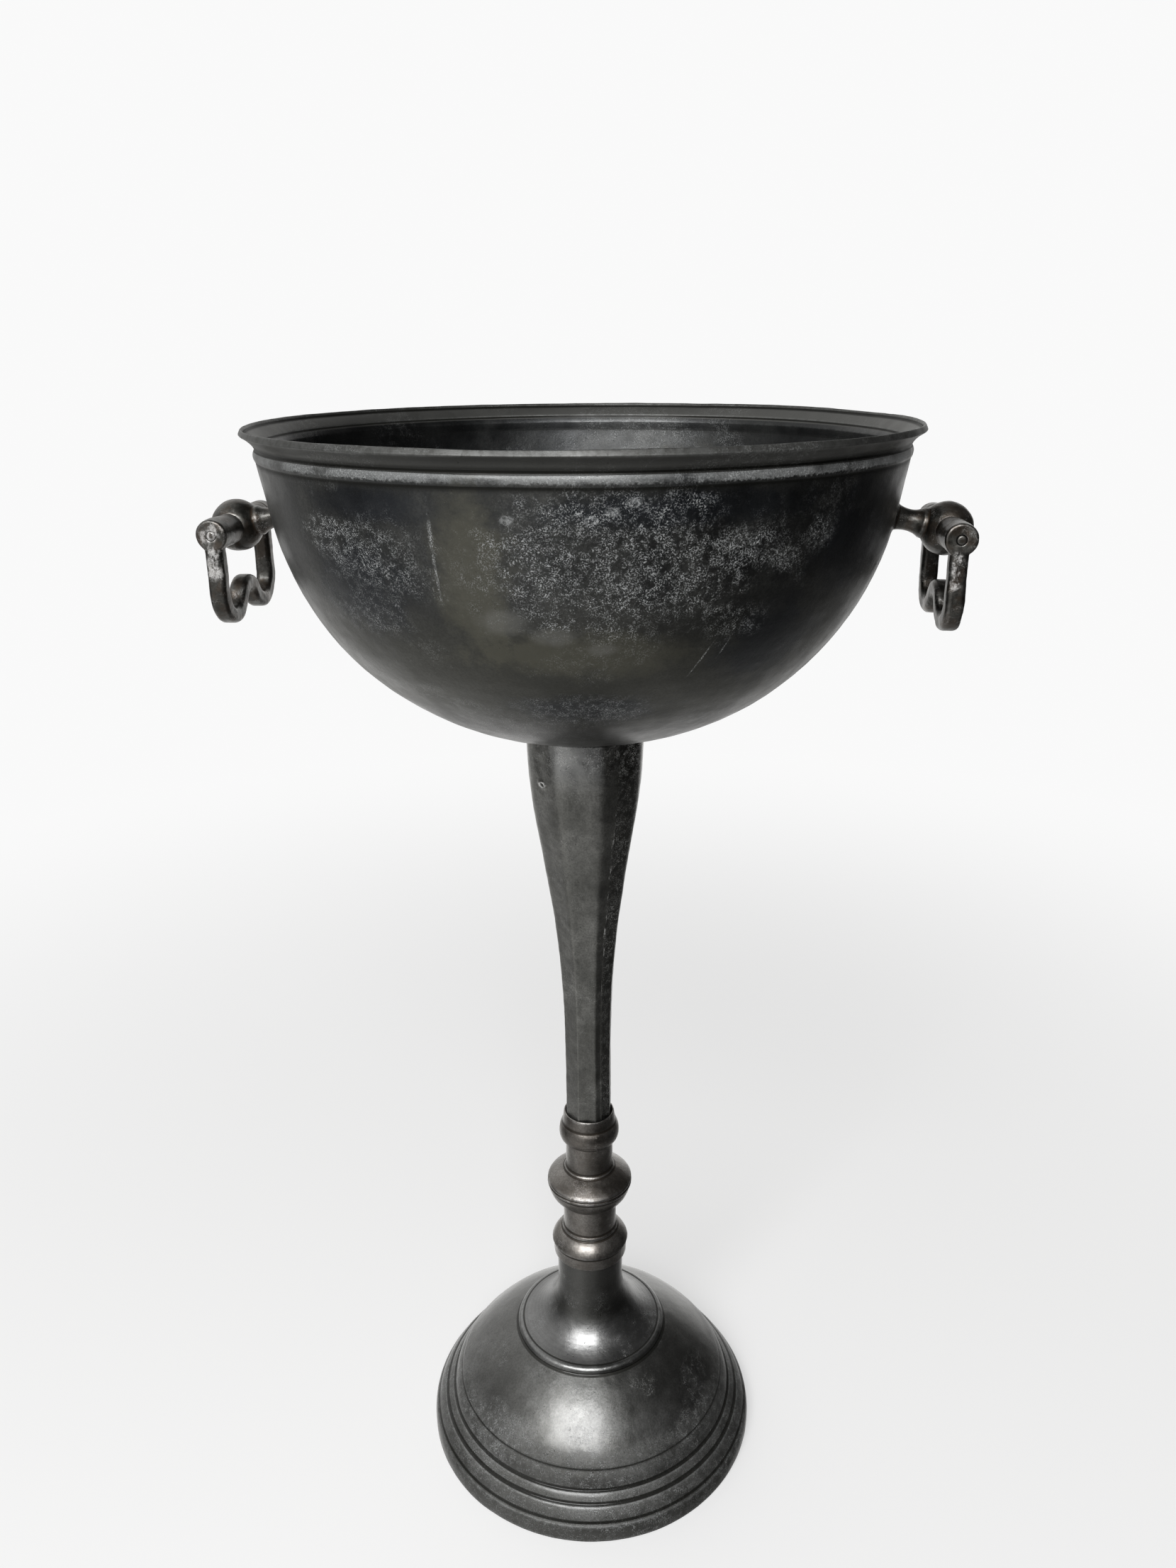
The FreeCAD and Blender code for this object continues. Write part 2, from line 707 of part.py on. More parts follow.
def make_boss(name, side):
    """A flange, a hollowed neck and a ball with a cross bore for the hinge pin."""
    ball_start = "Dim.ball_reach - sqrt(Dim.ball_radius ^ 2 - Dim.spool_end_radius ^ 2)"
    body = turned(name + "_boss", [
        ("0", "0"),
        ("Dim.flange_round", "0"),
        ("Dim.flange_round", "Dim.flange_thick / 2"),
        ("Dim.spool_root_radius", "Dim.flange_thick", "Dim.flange_round", 1),
        ("Dim.spool_radius", "Dim.spool_middle", "Dim.spool_root_arc", -1),
        ("Dim.spool_end_radius", "Dim.spool_end", "Dim.spool_end_arc", -1),
        ("Dim.spool_end_radius", ball_start),
        ("0", "Dim.ball_reach + Dim.ball_radius", "Dim.ball_radius", 1),
    ])
    bore = new_sketch(body, "XZ_Plane", name + "_boss_bore")
    draw_circle(bore, "0", "Dim.ball_reach", "Dim.pin_radius + Dim.pin_gap")
    pocket_through(body, bore, name + "_boss_bore_pocket")
    for direction, facing in (("near", 1), ("far", -1)):
        spot = new_sketch(body, "XZ_Plane", "%s_boss_spot_%s" % (name, direction))
        offset = "%d * (Dim.ball_flat + Dim.spot_depth)" % facing
        spot.AttachmentOffset = FreeCAD.Placement(Vector(0, 0, number(offset)), FreeCAD.Rotation())
        spot.setExpression("AttachmentOffset.Base.z", offset)
        draw_circle(spot, "0", "Dim.ball_reach", "Dim.spot_radius")
        pocket_name = "%s_boss_spot_%s_pocket" % (name, direction)
        pocket_depth(body, spot, "Dim.spot_depth", pocket_name, backwards=facing < 0)
    hole = new_sketch(body, "XY_Plane", name + "_boss_bolt_hole")
    draw_circle(hole, "0", "0", "Dim.bolt_radius + Dim.thread_gap")
    pocket_depth(body, hole, "Dim.bolt_depth", name + "_boss_bolt_pocket", backwards=True)
    place_on_boss(body, side)
    return body


SEAL_REACH = "-(Dim.bowl_wall + Dim.boss_seal_gap)"
WASHER_REACH = SEAL_REACH + " - Dim.boss_seal_height"
HEAD_REACH = WASHER_REACH + " - Dim.boss_washer_height"


def make_boss_hardware(name, side):
    """The bolt that holds a boss, with its seal and washer inside the bowl."""
    hole = "Dim.bolt_radius + Dim.hole_gap / 2"
    seal = flat_ring(name + "_boss_seal", "Dim.boss_seal_radius", hole, "Dim.boss_seal_height")
    place_on_boss(seal, side, WASHER_REACH)
    washer = flat_ring(name + "_boss_washer", "Dim.boss_washer_radius", hole, "Dim.boss_washer_height")
    place_on_boss(washer, side, HEAD_REACH)
    head = hexagon(name + "_bolt_head", "Dim.bolt_flats", "Dim.bolt_head")
    place(head, z="Dim.bolt_head", turn=(X_AXIS, 180))
    length = "Dim.bolt_head + Dim.bolt_reach - (%s)" % HEAD_REACH
    shank = cylinder(name + "_bolt_shank", "Dim.bolt_radius", length)
    bolt = fuse(name + "_boss_bolt", head, shank)
    place_on_boss(bolt, side, HEAD_REACH + " - Dim.bolt_head")
    return [seal, washer, bolt]


def loop_path(body, name):
    """The centre line of a loop in its own YZ plane: arm, lobe, cusp, lobe, arm."""
    sketch = new_sketch(body, "YZ_Plane", name + "_loop_path")
    arm = "(Dim.loop_half_width - Dim.arm_thick / 2)"
    lobe = "Dim.lobe_arc"
    centre = "(%s - Dim.lobe_arc)" % arm
    rise = "(Dim.cusp_drop - Dim.lobe_drop)"
    crown = "((%s ^ 2 + %s ^ 2 - Dim.lobe_arc ^ 2) / (2 * (Dim.lobe_arc - %s)))" % (centre, rise, rise)
    share = "Dim.lobe_arc / (Dim.lobe_arc + %s)" % crown
    meet = ("%s * (1 - %s)" % (centre, share), "-Dim.lobe_drop - (%s + %s) * %s" % (crown, rise, share))
    steps = [
        ("-" + arm, "0"),
        ("-" + arm, "-Dim.lobe_drop"),
        ("-" + centre, "-Dim.lobe_drop - " + lobe, lobe, 1),
        ("-" + meet[0], meet[1], lobe, 1),
        ("0", "-Dim.cusp_drop", crown, -1),
        (meet[0], meet[1], crown, -1),
        (centre, "-Dim.lobe_drop - " + lobe, lobe, 1),
        (arm, "-Dim.lobe_drop", lobe, 1),
        (arm, "0"),
    ]
    draw_outline(sketch, steps, closed=False)
    return sketch


def loop_bar(body, name):
    """The rounded rectangular section of the loop's bar, at the top of one arm."""
    sketch = new_sketch(body, "XY_Plane", name + "_loop_bar")
    deep = "Dim.arm_depth / 2"
    outer = "Dim.loop_half_width"
    inner = "(Dim.loop_half_width - Dim.arm_thick)"
    corner = "Dim.arm_round"
    steps = [
        ("-(%s - %s)" % (deep, corner), "-" + outer),
        ("%s - %s" % (deep, corner), "-" + outer),
        (deep, "-(%s - %s)" % (outer, corner), corner, 1),
        (deep, "-(%s + %s)" % (inner, corner)),
        ("%s - %s" % (deep, corner), "-" + inner, corner, 1),
        ("-(%s - %s)" % (deep, corner), "-" + inner),
        ("-" + deep, "-(%s + %s)" % (inner, corner), corner, 1),
        ("-" + deep, "-(%s - %s)" % (outer, corner)),
        ("-(%s - %s)" % (deep, corner), "-" + outer, corner, 1),
    ]
    draw_outline(sketch, steps, closed=False)
    return sketch


def make_loop(name, side):
    """A swinging handle: a scrolled bar with an eye and a trunnion on each arm."""
    body = new_body(name + "_loop")
    path = loop_path(body, name)
    bar = loop_bar(body, name)
    DOC.recompute()
    pipe = body.newObject("PartDesign::AdditivePipe", name + "_loop_pipe")
    pipe.Profile = bar
    pipe.Spine = path
    pipe.Mode = "Frenet"
    pipe.Transition = "Right corner"
    DOC.recompute()
    eyes = new_sketch(body, "YZ_Plane", name + "_loop_eyes")
    face = "Dim.ball_flat + Dim.trunnion_gap"
    inner = "(Dim.loop_half_width - Dim.arm_thick)"
    hole = "Dim.pin_radius + Dim.pin_gap"
    rounded = "(Dim.loop_half_width - Dim.eye_round)"
    bevelled = "(%s + Dim.trunnion_bevel)" % face
    for sign, turn in (("", 1), ("-", -1)):
        draw_outline(eyes, [
            ("%s(%s)" % (sign, face), hole),
            (sign + "Dim.loop_half_width", hole),
            (sign + "Dim.loop_half_width", "Dim.eye_radius - Dim.eye_round"),
            (sign + rounded, "Dim.eye_radius", "Dim.eye_arc", turn),
            (sign + inner, "Dim.eye_radius"),
            (sign + inner, "Dim.trunnion_radius"),
            (sign + bevelled, "Dim.trunnion_radius"),
            ("%s(%s)" % (sign, face), "Dim.trunnion_radius - Dim.trunnion_bevel"),
        ])
    revolve(body, eyes, "H_Axis", name + "_loop_eyes_turned")
    DOC.recompute()
    bore = new_sketch(body, "XZ_Plane", name + "_loop_bore")
    draw_circle(bore, "0", "0", hole)
    pocket_through(body, bore, name + "_loop_bore_pocket")
    place_on_hinge(body, side)
    return body


def place_on_hinge(item, side):
    x, z = along_boss("Dim.ball_reach")
    place(item, x=x if side > 0 else "-(%s)" % x, z=z)


def make_pin(name, side):
    """The hinge pin, with a shallow point at each end, set flush in the eyes of the loop."""
    body = new_body(name + "_hinge_pin")
    sketch = new_sketch(body, "YZ_Plane", name + "_pin_section")
    end = "(Dim.loop_half_width + Dim.pin_point)"
    draw_outline(sketch, [
        ("-" + end, "0"),
        (end, "0"),
        ("Dim.loop_half_width", "Dim.pin_radius"),
        ("-Dim.loop_half_width", "Dim.pin_radius"),
    ])
    revolve(body, sketch, "H_Axis", name + "_pin_turned")
    DOC.recompute()
    place_on_hinge(body, side)
    return body


# ----------------------------------------------------------------- whole object

def make_all():
    parts = [make_bowl(), make_stem(), make_baluster(), make_foot(), make_pads()]
    parts += make_rod_hardware()
    for name, side in SIDES:
        parts.append(make_boss(name, side))
        parts += make_boss_hardware(name, side)
        parts.append(make_loop(name, side))
        parts.append(make_pin(name, side))
    return parts


def check(parts):
    """Stop if any object failed or any sub-part has a bad shape."""
    DOC.recompute()
    for item in DOC.Objects:
        if "Invalid" in item.State or "Error" in item.State:
            raise RuntimeError("%s failed: %s" % (item.Name, item.State))
    for part in parts:
        if part.Shape.isNull() or not part.Shape.isValid():
            raise RuntimeError(part.Label + " has a bad shape")


def write(parts):
    os.makedirs("parts", exist_ok=True)
    for part in parts:
        part.Shape.exportStep("parts/%s.step" % part.Label)
        box = part.Shape.BoundBox
        print("%-20s solids %d volume %10.1f  x %7.1f %7.1f  y %6.1f %6.1f  z %6.1f %6.1f" % (
            part.Label, len(part.Shape.Solids), part.Shape.Volume,
            box.XMin, box.XMax, box.YMin, box.YMax, box.ZMin, box.ZMax,
        ))


fill_sheet()
PARTS = make_all()
check(PARTS)
write(PARTS)
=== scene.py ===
"""Champagne bucket stand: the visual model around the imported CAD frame."""

import json
import math

import bmesh
import bpy
import numpy as np
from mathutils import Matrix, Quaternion, Vector, noise

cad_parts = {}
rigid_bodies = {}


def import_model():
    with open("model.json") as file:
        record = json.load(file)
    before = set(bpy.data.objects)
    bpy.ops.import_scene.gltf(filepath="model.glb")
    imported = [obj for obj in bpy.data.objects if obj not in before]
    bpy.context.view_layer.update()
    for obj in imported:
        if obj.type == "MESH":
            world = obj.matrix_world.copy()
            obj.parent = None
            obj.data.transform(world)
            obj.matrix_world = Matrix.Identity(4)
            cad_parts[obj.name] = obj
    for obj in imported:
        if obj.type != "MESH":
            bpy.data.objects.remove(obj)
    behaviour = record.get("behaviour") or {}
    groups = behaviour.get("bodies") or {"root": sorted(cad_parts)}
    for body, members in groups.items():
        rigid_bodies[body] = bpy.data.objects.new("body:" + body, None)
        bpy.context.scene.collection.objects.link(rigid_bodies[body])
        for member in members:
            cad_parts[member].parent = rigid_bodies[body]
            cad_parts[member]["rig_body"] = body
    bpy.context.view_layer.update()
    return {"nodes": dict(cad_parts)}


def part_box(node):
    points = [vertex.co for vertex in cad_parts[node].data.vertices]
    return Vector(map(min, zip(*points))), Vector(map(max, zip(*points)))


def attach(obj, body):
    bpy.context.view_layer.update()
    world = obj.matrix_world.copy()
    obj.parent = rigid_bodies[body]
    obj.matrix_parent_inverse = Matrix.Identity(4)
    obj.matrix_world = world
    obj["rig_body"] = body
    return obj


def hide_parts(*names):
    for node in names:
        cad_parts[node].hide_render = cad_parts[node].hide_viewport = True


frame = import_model()
NODES = frame["nodes"]
MM = 0.001
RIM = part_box("bowl")[1].z
STEM_LOW, STEM_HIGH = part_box("stem")
HINGE_LOW, HINGE_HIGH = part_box("right_hinge_pin")
LOOP_LOW, LOOP_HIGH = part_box("right_loop")
CRATER_DROP = 30 * MM
SEAM_ANGLE = 310
TURN_GAIN = 2.2
BULGE_GAIN = 2.5
COAT_ROUGHNESS = 0.2

# The turned bands of the bowl and the foot, in metres. Each pair is where a band fades in or
# out: the first value is where it is absent and the second where it is full.
BOWL_CENTRE = (0, 0, 0.73)
BEAD_TOP, BEAD_RADIUS = 0.7384, 0.1845
BEAD_REACH = (0.1838, 0.1850)
PALE_BAND_FROM, PALE_BAND_TO = (0.7347, 0.7360), (0.7401, 0.7396)
GROOVE_FROM, GROOVE_TO = (0.7395, 0.7400), (0.7412, 0.7405)
LIP_FROM = (0.7405, 0.7415)
CREST_FROM = (0.7475, 0.7490)
FOOT_STEPS_TO = (0.056, 0.048)
FOOT_NECK_FROM = (0.098, 0.112)
FOOT_FLARE_FROM, FOOT_FLARE_TO = (0.086, 0.090), (0.112, 0.100)
FOOT_SKIRT_TO = (0.016, 0.012)

# ---------------------------------------------------------------- outlines


def outline(node):
    """The closed outline of a turned CAD piece, as rows of radius and height, cut at x = 0."""
    cut = bmesh.new()
    cut.from_mesh(NODES[node].data)
    bmesh.ops.remove_doubles(cut, verts=cut.verts, dist=0.002 * MM)
    made = bmesh.ops.bisect_plane(
        cut, geom=[*cut.verts, *cut.edges, *cut.faces], plane_co=(0, 0, 0), plane_no=(1, 0, 0)
    )
    follow = {}
    for e in made["geom_cut"]:
        if isinstance(e, bmesh.types.BMEdge) and min(v.co.y for v in e.verts) > 0:
            a, b = e.verts
            follow.setdefault(a, []).append(b)
            follow.setdefault(b, []).append(a)
    start = max(follow, key=lambda v: v.co.y)
    path, last, here = [start], None, start
    while True:
        ahead = [v for v in follow[here] if v is not last]
        last, here = here, ahead[0]
        if here is start:
            break
        path.append(here)
    rows = np.array([(v.co.y, v.co.z) for v in path])
    cut.free()
    return rows


def resample(rows, spacing):
    """The closed outline with evenly spaced points."""
    closed = np.vstack([rows, rows[:1]])
    along = np.concatenate([[0], np.cumsum(np.linalg.norm(np.diff(closed, axis=0), axis=1))])
    at = np.linspace(0, along[-1], int(along[-1] / spacing), endpoint=False)
    return np.column_stack([np.interp(at, along, closed[:, i]) for i in (0, 1)])


def soften(rows, rounding, spacing=0.2 * MM):
    """The closed outline with its corners rounded, as if cast and hand finished."""
    even = resample(rows, spacing)
    turns = np.fft.fftfreq(len(even)) * len(even)
    sigma = rounding / spacing
    blur = np.exp(-2 * (np.pi * turns / len(even) * sigma) ** 2)
    return np.column_stack([np.fft.ifft(np.fft.fft(even[:, i]) * blur).real for i in (0, 1)])


def thin_out(rows, tolerance, longest):
    """Indexes of the outline's points that carry its shape."""
    kept, i = [0], 0
    while i < len(rows) - 1:
        j = i + 2
        while j < len(rows):
            chord = rows[j] - rows[i]
            size = np.linalg.norm(chord)
            between = rows[i + 1 : j] - rows[i]
            off = np.abs(between[:, 0] * chord[1] - between[:, 1] * chord[0]).max() / size
            if off > tolerance or size > longest:
                break
            j += 1
        i = j - 1
        kept.append(i)
    return kept[:-1] if kept[-1] >= len(rows) - 1 else kept


def turning(rows, reach):
    """How sharply the outline turns at each point: plus outward, minus inward, 1 at a corner."""
    ahead = np.roll(rows, -reach, axis=0) - rows
    behind = rows - np.roll(rows, reach, axis=0)
    cross = behind[:, 0] * ahead[:, 1] - behind[:, 1] * ahead[:, 0]
    sine = cross / (np.linalg.norm(ahead, axis=1) * np.linalg.norm(behind, axis=1))
    area = np.sum(rows[:, 0] * np.roll(rows[:, 1], -1) - rows[:, 1] * np.roll(rows[:, 0], -1))
    return sine * np.sign(area)


# ---------------------------------------------------------------- meshes


def mesh_of(name, points, faces):
    """A smooth mesh whose normals face outward."""
    mesh = bpy.data.meshes.new(name)
    mesh.from_pydata([tuple(p) for p in points], [], faces)
    tidy = bmesh.new()
    tidy.from_mesh(mesh)
    bmesh.ops.recalc_face_normals(tidy, faces=tidy.faces)
    tidy.to_mesh(mesh)
    tidy.free()
    mesh.shade_smooth()
    return mesh


def grid_faces(rows, sides):
    """The faces of a closed ring of rows, each a ring of sides."""
    faces = []
    for i in range(rows):
        up = (i + 1) % rows
        for j in range(sides):
            k = (j + 1) % sides
            faces.append((i * sides + j, i * sides + k, up * sides + k, up * sides + j))
    return faces


def points_of(mesh, what="co"):
    values = np.zeros(len(mesh.vertices) * 3)
    mesh.vertices.foreach_get(what, values)
    return values.reshape(-1, 3)


def paint(mesh, name, values):
    """A number for each vertex that the materials read."""
    layer = mesh.attributes.new(name, "FLOAT", "POINT")
    layer.data.foreach_set("value", np.clip(values, 0, 1).astype(np.float32))


def unevenness(points, layers, shift=0.0):
    """Noise at each point, as a sum of layers of wavelength and height."""
    total = np.zeros(len(points))
    for step, (wavelength, height) in enumerate(layers):
        away = Vector((3.1 * step + shift, 7.7 * step, 1.3 * step))
        total += height * np.array([noise.noise(Vector(p) / wavelength + away) for p in points])
    return total


def push(mesh, amounts):
    """Moves each vertex along its normal."""
    moved = points_of(mesh) + points_of(mesh, "normal") * amounts[:, None]
    mesh.vertices.foreach_set("co", moved.ravel())
    mesh.update()


def dent(mesh, nicks, depth):
    """Knocks small nicks into the surface, each a place and a size in millimetres."""
    places = points_of(mesh)
    for x, y, z, size in nicks:
        away = np.linalg.norm(places - np.array([x, y, z]), axis=1) / (size * MM)
        push(mesh, -depth * np.exp(-(away**2)))


def finish_piece(name, mesh, nodes, material):
    """Puts the mesh in the scene in place of its CAD nodes."""
    piece = bpy.data.objects.new(name, mesh)
    bpy.context.scene.collection.objects.link(piece)
    mesh.materials.clear()
    mesh.materials.append(material)
    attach(piece, NODES[nodes[0]]["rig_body"])
    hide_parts(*nodes)
    return piece


def dressed_bead(rows):
    """The bowl's outline with the top edge of its bead dressed a little higher by hand."""
    radius, height = rows.T
    near_top = np.exp(-(((height - BEAD_TOP) / (4.5 * MM)) ** 2))
    lift = 1.5 * MM * near_top * (radius > BEAD_RADIUS)
    return np.column_stack([radius, height + lift])


def turned(name, node, sides, rounding, layers, longest, out_of_round=0.0, adjust=None):
    """The mesh of a turned casting: the CAD outline, with worn corners and an uneven surface."""
    fine = soften(outline(node), rounding)
    if adjust:
        fine = adjust(fine)
    bend = turning(fine, 4)
    kept = thin_out(fine, 0.012 * MM, longest)
    rows, bend = fine[kept], bend[kept]
    angle = np.linspace(0, 2 * np.pi, sides, endpoint=False)
    swell = 1 + out_of_round * np.cos(2 * angle + 0.7) + 0.5 * out_of_round * np.cos(5 * angle)
    radius = rows[:, :1] * swell[None, :]
    points = np.stack(
        [
            radius * np.cos(angle),
            radius * np.sin(angle),
            np.repeat(rows[:, 1:], sides, axis=1),
        ],
        axis=2,
    ).reshape(-1, 3)
    mesh = mesh_of(name, points, grid_faces(len(rows), sides))
    push(mesh, unevenness(points, layers))
    # The edge number pales convex corners, partly as wear and partly as painted highlight; the
    # hollow number darkens grooves as painted shade.
    paint(mesh, "edge", np.repeat(bend * TURN_GAIN, sides))
    paint(mesh, "hollow", np.repeat(-bend * TURN_GAIN, sides))
    return mesh


def evaluated(piece):
    graph = bpy.context.evaluated_depsgraph_get()
    return bpy.data.meshes.new_from_object(piece.evaluated_get(graph))


def neighbour_mean(points, edges, degree):
    total = np.zeros_like(points)
    np.add.at(total, edges[:, 0], points[edges[:, 1]])
    np.add.at(total, edges[:, 1], points[edges[:, 0]])
    return total / degree[:, None]


def recast(name, node, voxel, rounds, layers, shift=0.0):
    """The mesh of a small piece: the CAD shape with worn corners and uneven faces."""
    raw = bpy.data.objects.new(name + "_raw", NODES[node].data.copy())
    bpy.context.scene.collection.objects.link(raw)
    remesh = raw.modifiers.new("even", "REMESH")
    remesh.mode = "VOXEL"
    remesh.voxel_size = voxel
    mesh = evaluated(raw)
    bpy.data.objects.remove(raw)
    mesh.name = name
    edges = np.zeros(len(mesh.edges) * 2, int)
    mesh.edges.foreach_get("vertices", edges)
    edges = edges.reshape(-1, 2)
    degree = np.bincount(edges.ravel(), minlength=len(mesh.vertices)).astype(float)
    points = points_of(mesh)
    for _ in range(rounds):
        points = neighbour_mean(points, edges, degree)
    mesh.vertices.foreach_set("co", points.ravel())
    mesh.update()
    if layers:
        push(mesh, unevenness(points, layers, shift))
    points = points_of(mesh)
    bulge = points
    for _ in range(6):
        bulge = neighbour_mean(bulge, edges, degree)
    height = np.sum((points - bulge) * points_of(mesh, "normal"), axis=1) / voxel
    # The edge number pales bulges, partly as wear and partly as painted highlight; the hollow
    # number darkens creases as painted shade.
    paint(mesh, "edge", height * BULGE_GAIN)
    paint(mesh, "hollow", -height * BULGE_GAIN)
    mesh.shade_smooth()
    for name_left in [a.name for a in mesh.color_attributes]:
        mesh.color_attributes.remove(mesh.color_attributes[name_left])
    return mesh


# ---------------------------------------------------------------- materials


class Nodes:
    """A node tree, and the arithmetic that the materials and the world share."""

    def __init__(self, tree):
        self.nodes = tree.nodes
        self.links = tree.links
        self.nodes.clear()

    def node(self, kind, inputs=None, **settings):
        made = self.nodes.new(kind)
        for key, value in settings.items():
            setattr(made, key, value)
        for key, value in (inputs or {}).items():
            self.feed(made, key, value)
        return made

    def feed(self, made, key, value):
        """Links a socket to an input, or sets the input to a value."""
        if isinstance(value, bpy.types.NodeSocket):
            self.links.new(value, made.inputs[key])
        else:
            made.inputs[key].default_value = value

    def maths(self, operation, a, b=0.0, clamp=False):
        made = self.node("ShaderNodeMath", {0: a, 1: b}, operation=operation, use_clamp=clamp)
        return made.outputs[0]

    def times(self, a, b):
        return self.maths("MULTIPLY", a, b)

    def plus(self, a, b, clamp=False):
        return self.maths("ADD", a, b, clamp)

    def minus(self, a, b, clamp=False):
        return self.maths("SUBTRACT", a, b, clamp)

    def vector(self, operation, a, b=None, output="Value"):
        inputs = {0: a} if b is None else {0: a, 1: b}
        return self.node("ShaderNodeVectorMath", inputs, operation=operation).outputs[output]

    def span(self, value, low, high, to_low=0.0, to_high=1.0):
        """A smooth step of the value from low to high."""
        inputs = {"Value": value, "From Min": low, "From Max": high}
        inputs.update({"To Min": to_low, "To Max": to_high})
        return self.node("ShaderNodeMapRange", inputs, interpolation_type="SMOOTHSTEP").outputs[0]

    def band(self, value, rise, fall):
        """1 between a smooth rise and a smooth fall."""
        return self.times(self.span(value, *rise), self.span(value, *fall))


class Shader(Nodes):
    """One material, built from the surface point in the object's own coordinates."""

    def __init__(self, name):
        self.material = bpy.data.materials.new(name)
        self.material.use_nodes = True
        super().__init__(self.material.node_tree)
        self.place = self.node("ShaderNodeTexCoord").outputs["Object"]
        split = self.node("ShaderNodeSeparateXYZ", {"Vector": self.place})
        self.x, self.y, self.z = split.outputs
        front = self.times(self.y, -1.0)
        self.turn = self.times(self.maths("ARCTAN2", self.x, front), math.degrees(1))

    def noise(self, size, detail=3.0, rough=0.55, stretch=(1, 1, 1)):
        """Noise whose features are about this size in metres."""
        place = self.place
        if stretch != (1, 1, 1):
            place = self.node("ShaderNodeMapping", {"Vector": place, "Scale": stretch}).outputs[0]
        inputs = {"Vector": place, "Scale": 1 / size, "Detail": detail, "Roughness": rough}
        return self.node("ShaderNodeTexNoise", inputs).outputs["Fac"]

    def near(self, centre, radius, ragged):
        """1 at the centre, fading out raggedly at the radius."""
        spread = self.times(self.noise(radius * 0.5, 7, 0.72), radius * ragged * 2)
        far = self.plus(self.vector("DISTANCE", self.place, centre), spread)
        far = self.minus(far, radius * ragged)
        return self.span(far, radius, radius * 0.35)

    def waver(self, size, amount):
        """Noise about zero that makes the border of a blob ragged."""
        return self.times(self.minus(self.noise(size, 6, 0.7), 0.5), amount)

    def squared(self, value, size):
        """The square of the value measured in this size."""
        return self.maths("POWER", self.maths("ABSOLUTE", self.maths("DIVIDE", value, size)), 2.0)

    def blob(self, turn, height, wide, tall, waver, lean=0.0):
        """1 inside an oval on a round piece, fading at its border; turn and wide in degrees."""
        up = self.minus(self.z, height)
        across = self.minus(self.minus(self.turn, turn), self.times(up, lean))
        far = self.plus(self.squared(across, wide), self.squared(up, tall))
        return self.span(self.plus(self.maths("POWER", far, 0.5), waver), 1.15, 0.4)

    def mix(self, amount, a, b):
        made = self.node("ShaderNodeMix", data_type="RGBA")
        for key, value in ((0, amount), (6, a), (7, b)):
            self.feed(made, key, (*value, 1) if isinstance(value, tuple) else value)
        return made.outputs[2]

    def tinted(self, area, strength, colour, shade):
        """The colour, mixed toward a shade over an area."""
        return self.mix(self.times(area, strength), colour, shade)

    def painted(self, name):
        return self.node("ShaderNodeAttribute", attribute_name=name).outputs["Fac"]

    def bumps(self, height, depth, before=None):
        """A normal bumped by a height from 0 to 1 that stands for a depth in metres."""
        inputs = {"Height": height, "Distance": depth, "Strength": 1.0}
        if before is not None:
            inputs["Normal"] = before
        return self.node("ShaderNodeBump", inputs).outputs[0]

    def surface(self, colour, rough, normal, metallic=1.0, coat=0.0):
        inputs = {"Base Color": colour, "Roughness": rough, "Normal": normal, "Metallic": metallic}
        shade = self.node("ShaderNodeBsdfPrincipled", inputs)
        shade.inputs["Coat Weight"].default_value = coat
        shade.inputs["Coat Roughness"].default_value = COAT_ROUGHNESS
        out = self.node("ShaderNodeOutputMaterial")
        self.links.new(shade.outputs[0], out.inputs[0])
        return self.material


def sum_of(shader, parts):
    """The parts added together, kept from 0 to 1."""
    total = parts[0]
    for part in parts[1:]:
        total = shader.plus(total, part, clamp=True)
    return total


def scaled(colour, factor):
    return tuple(factor * c for c in colour)


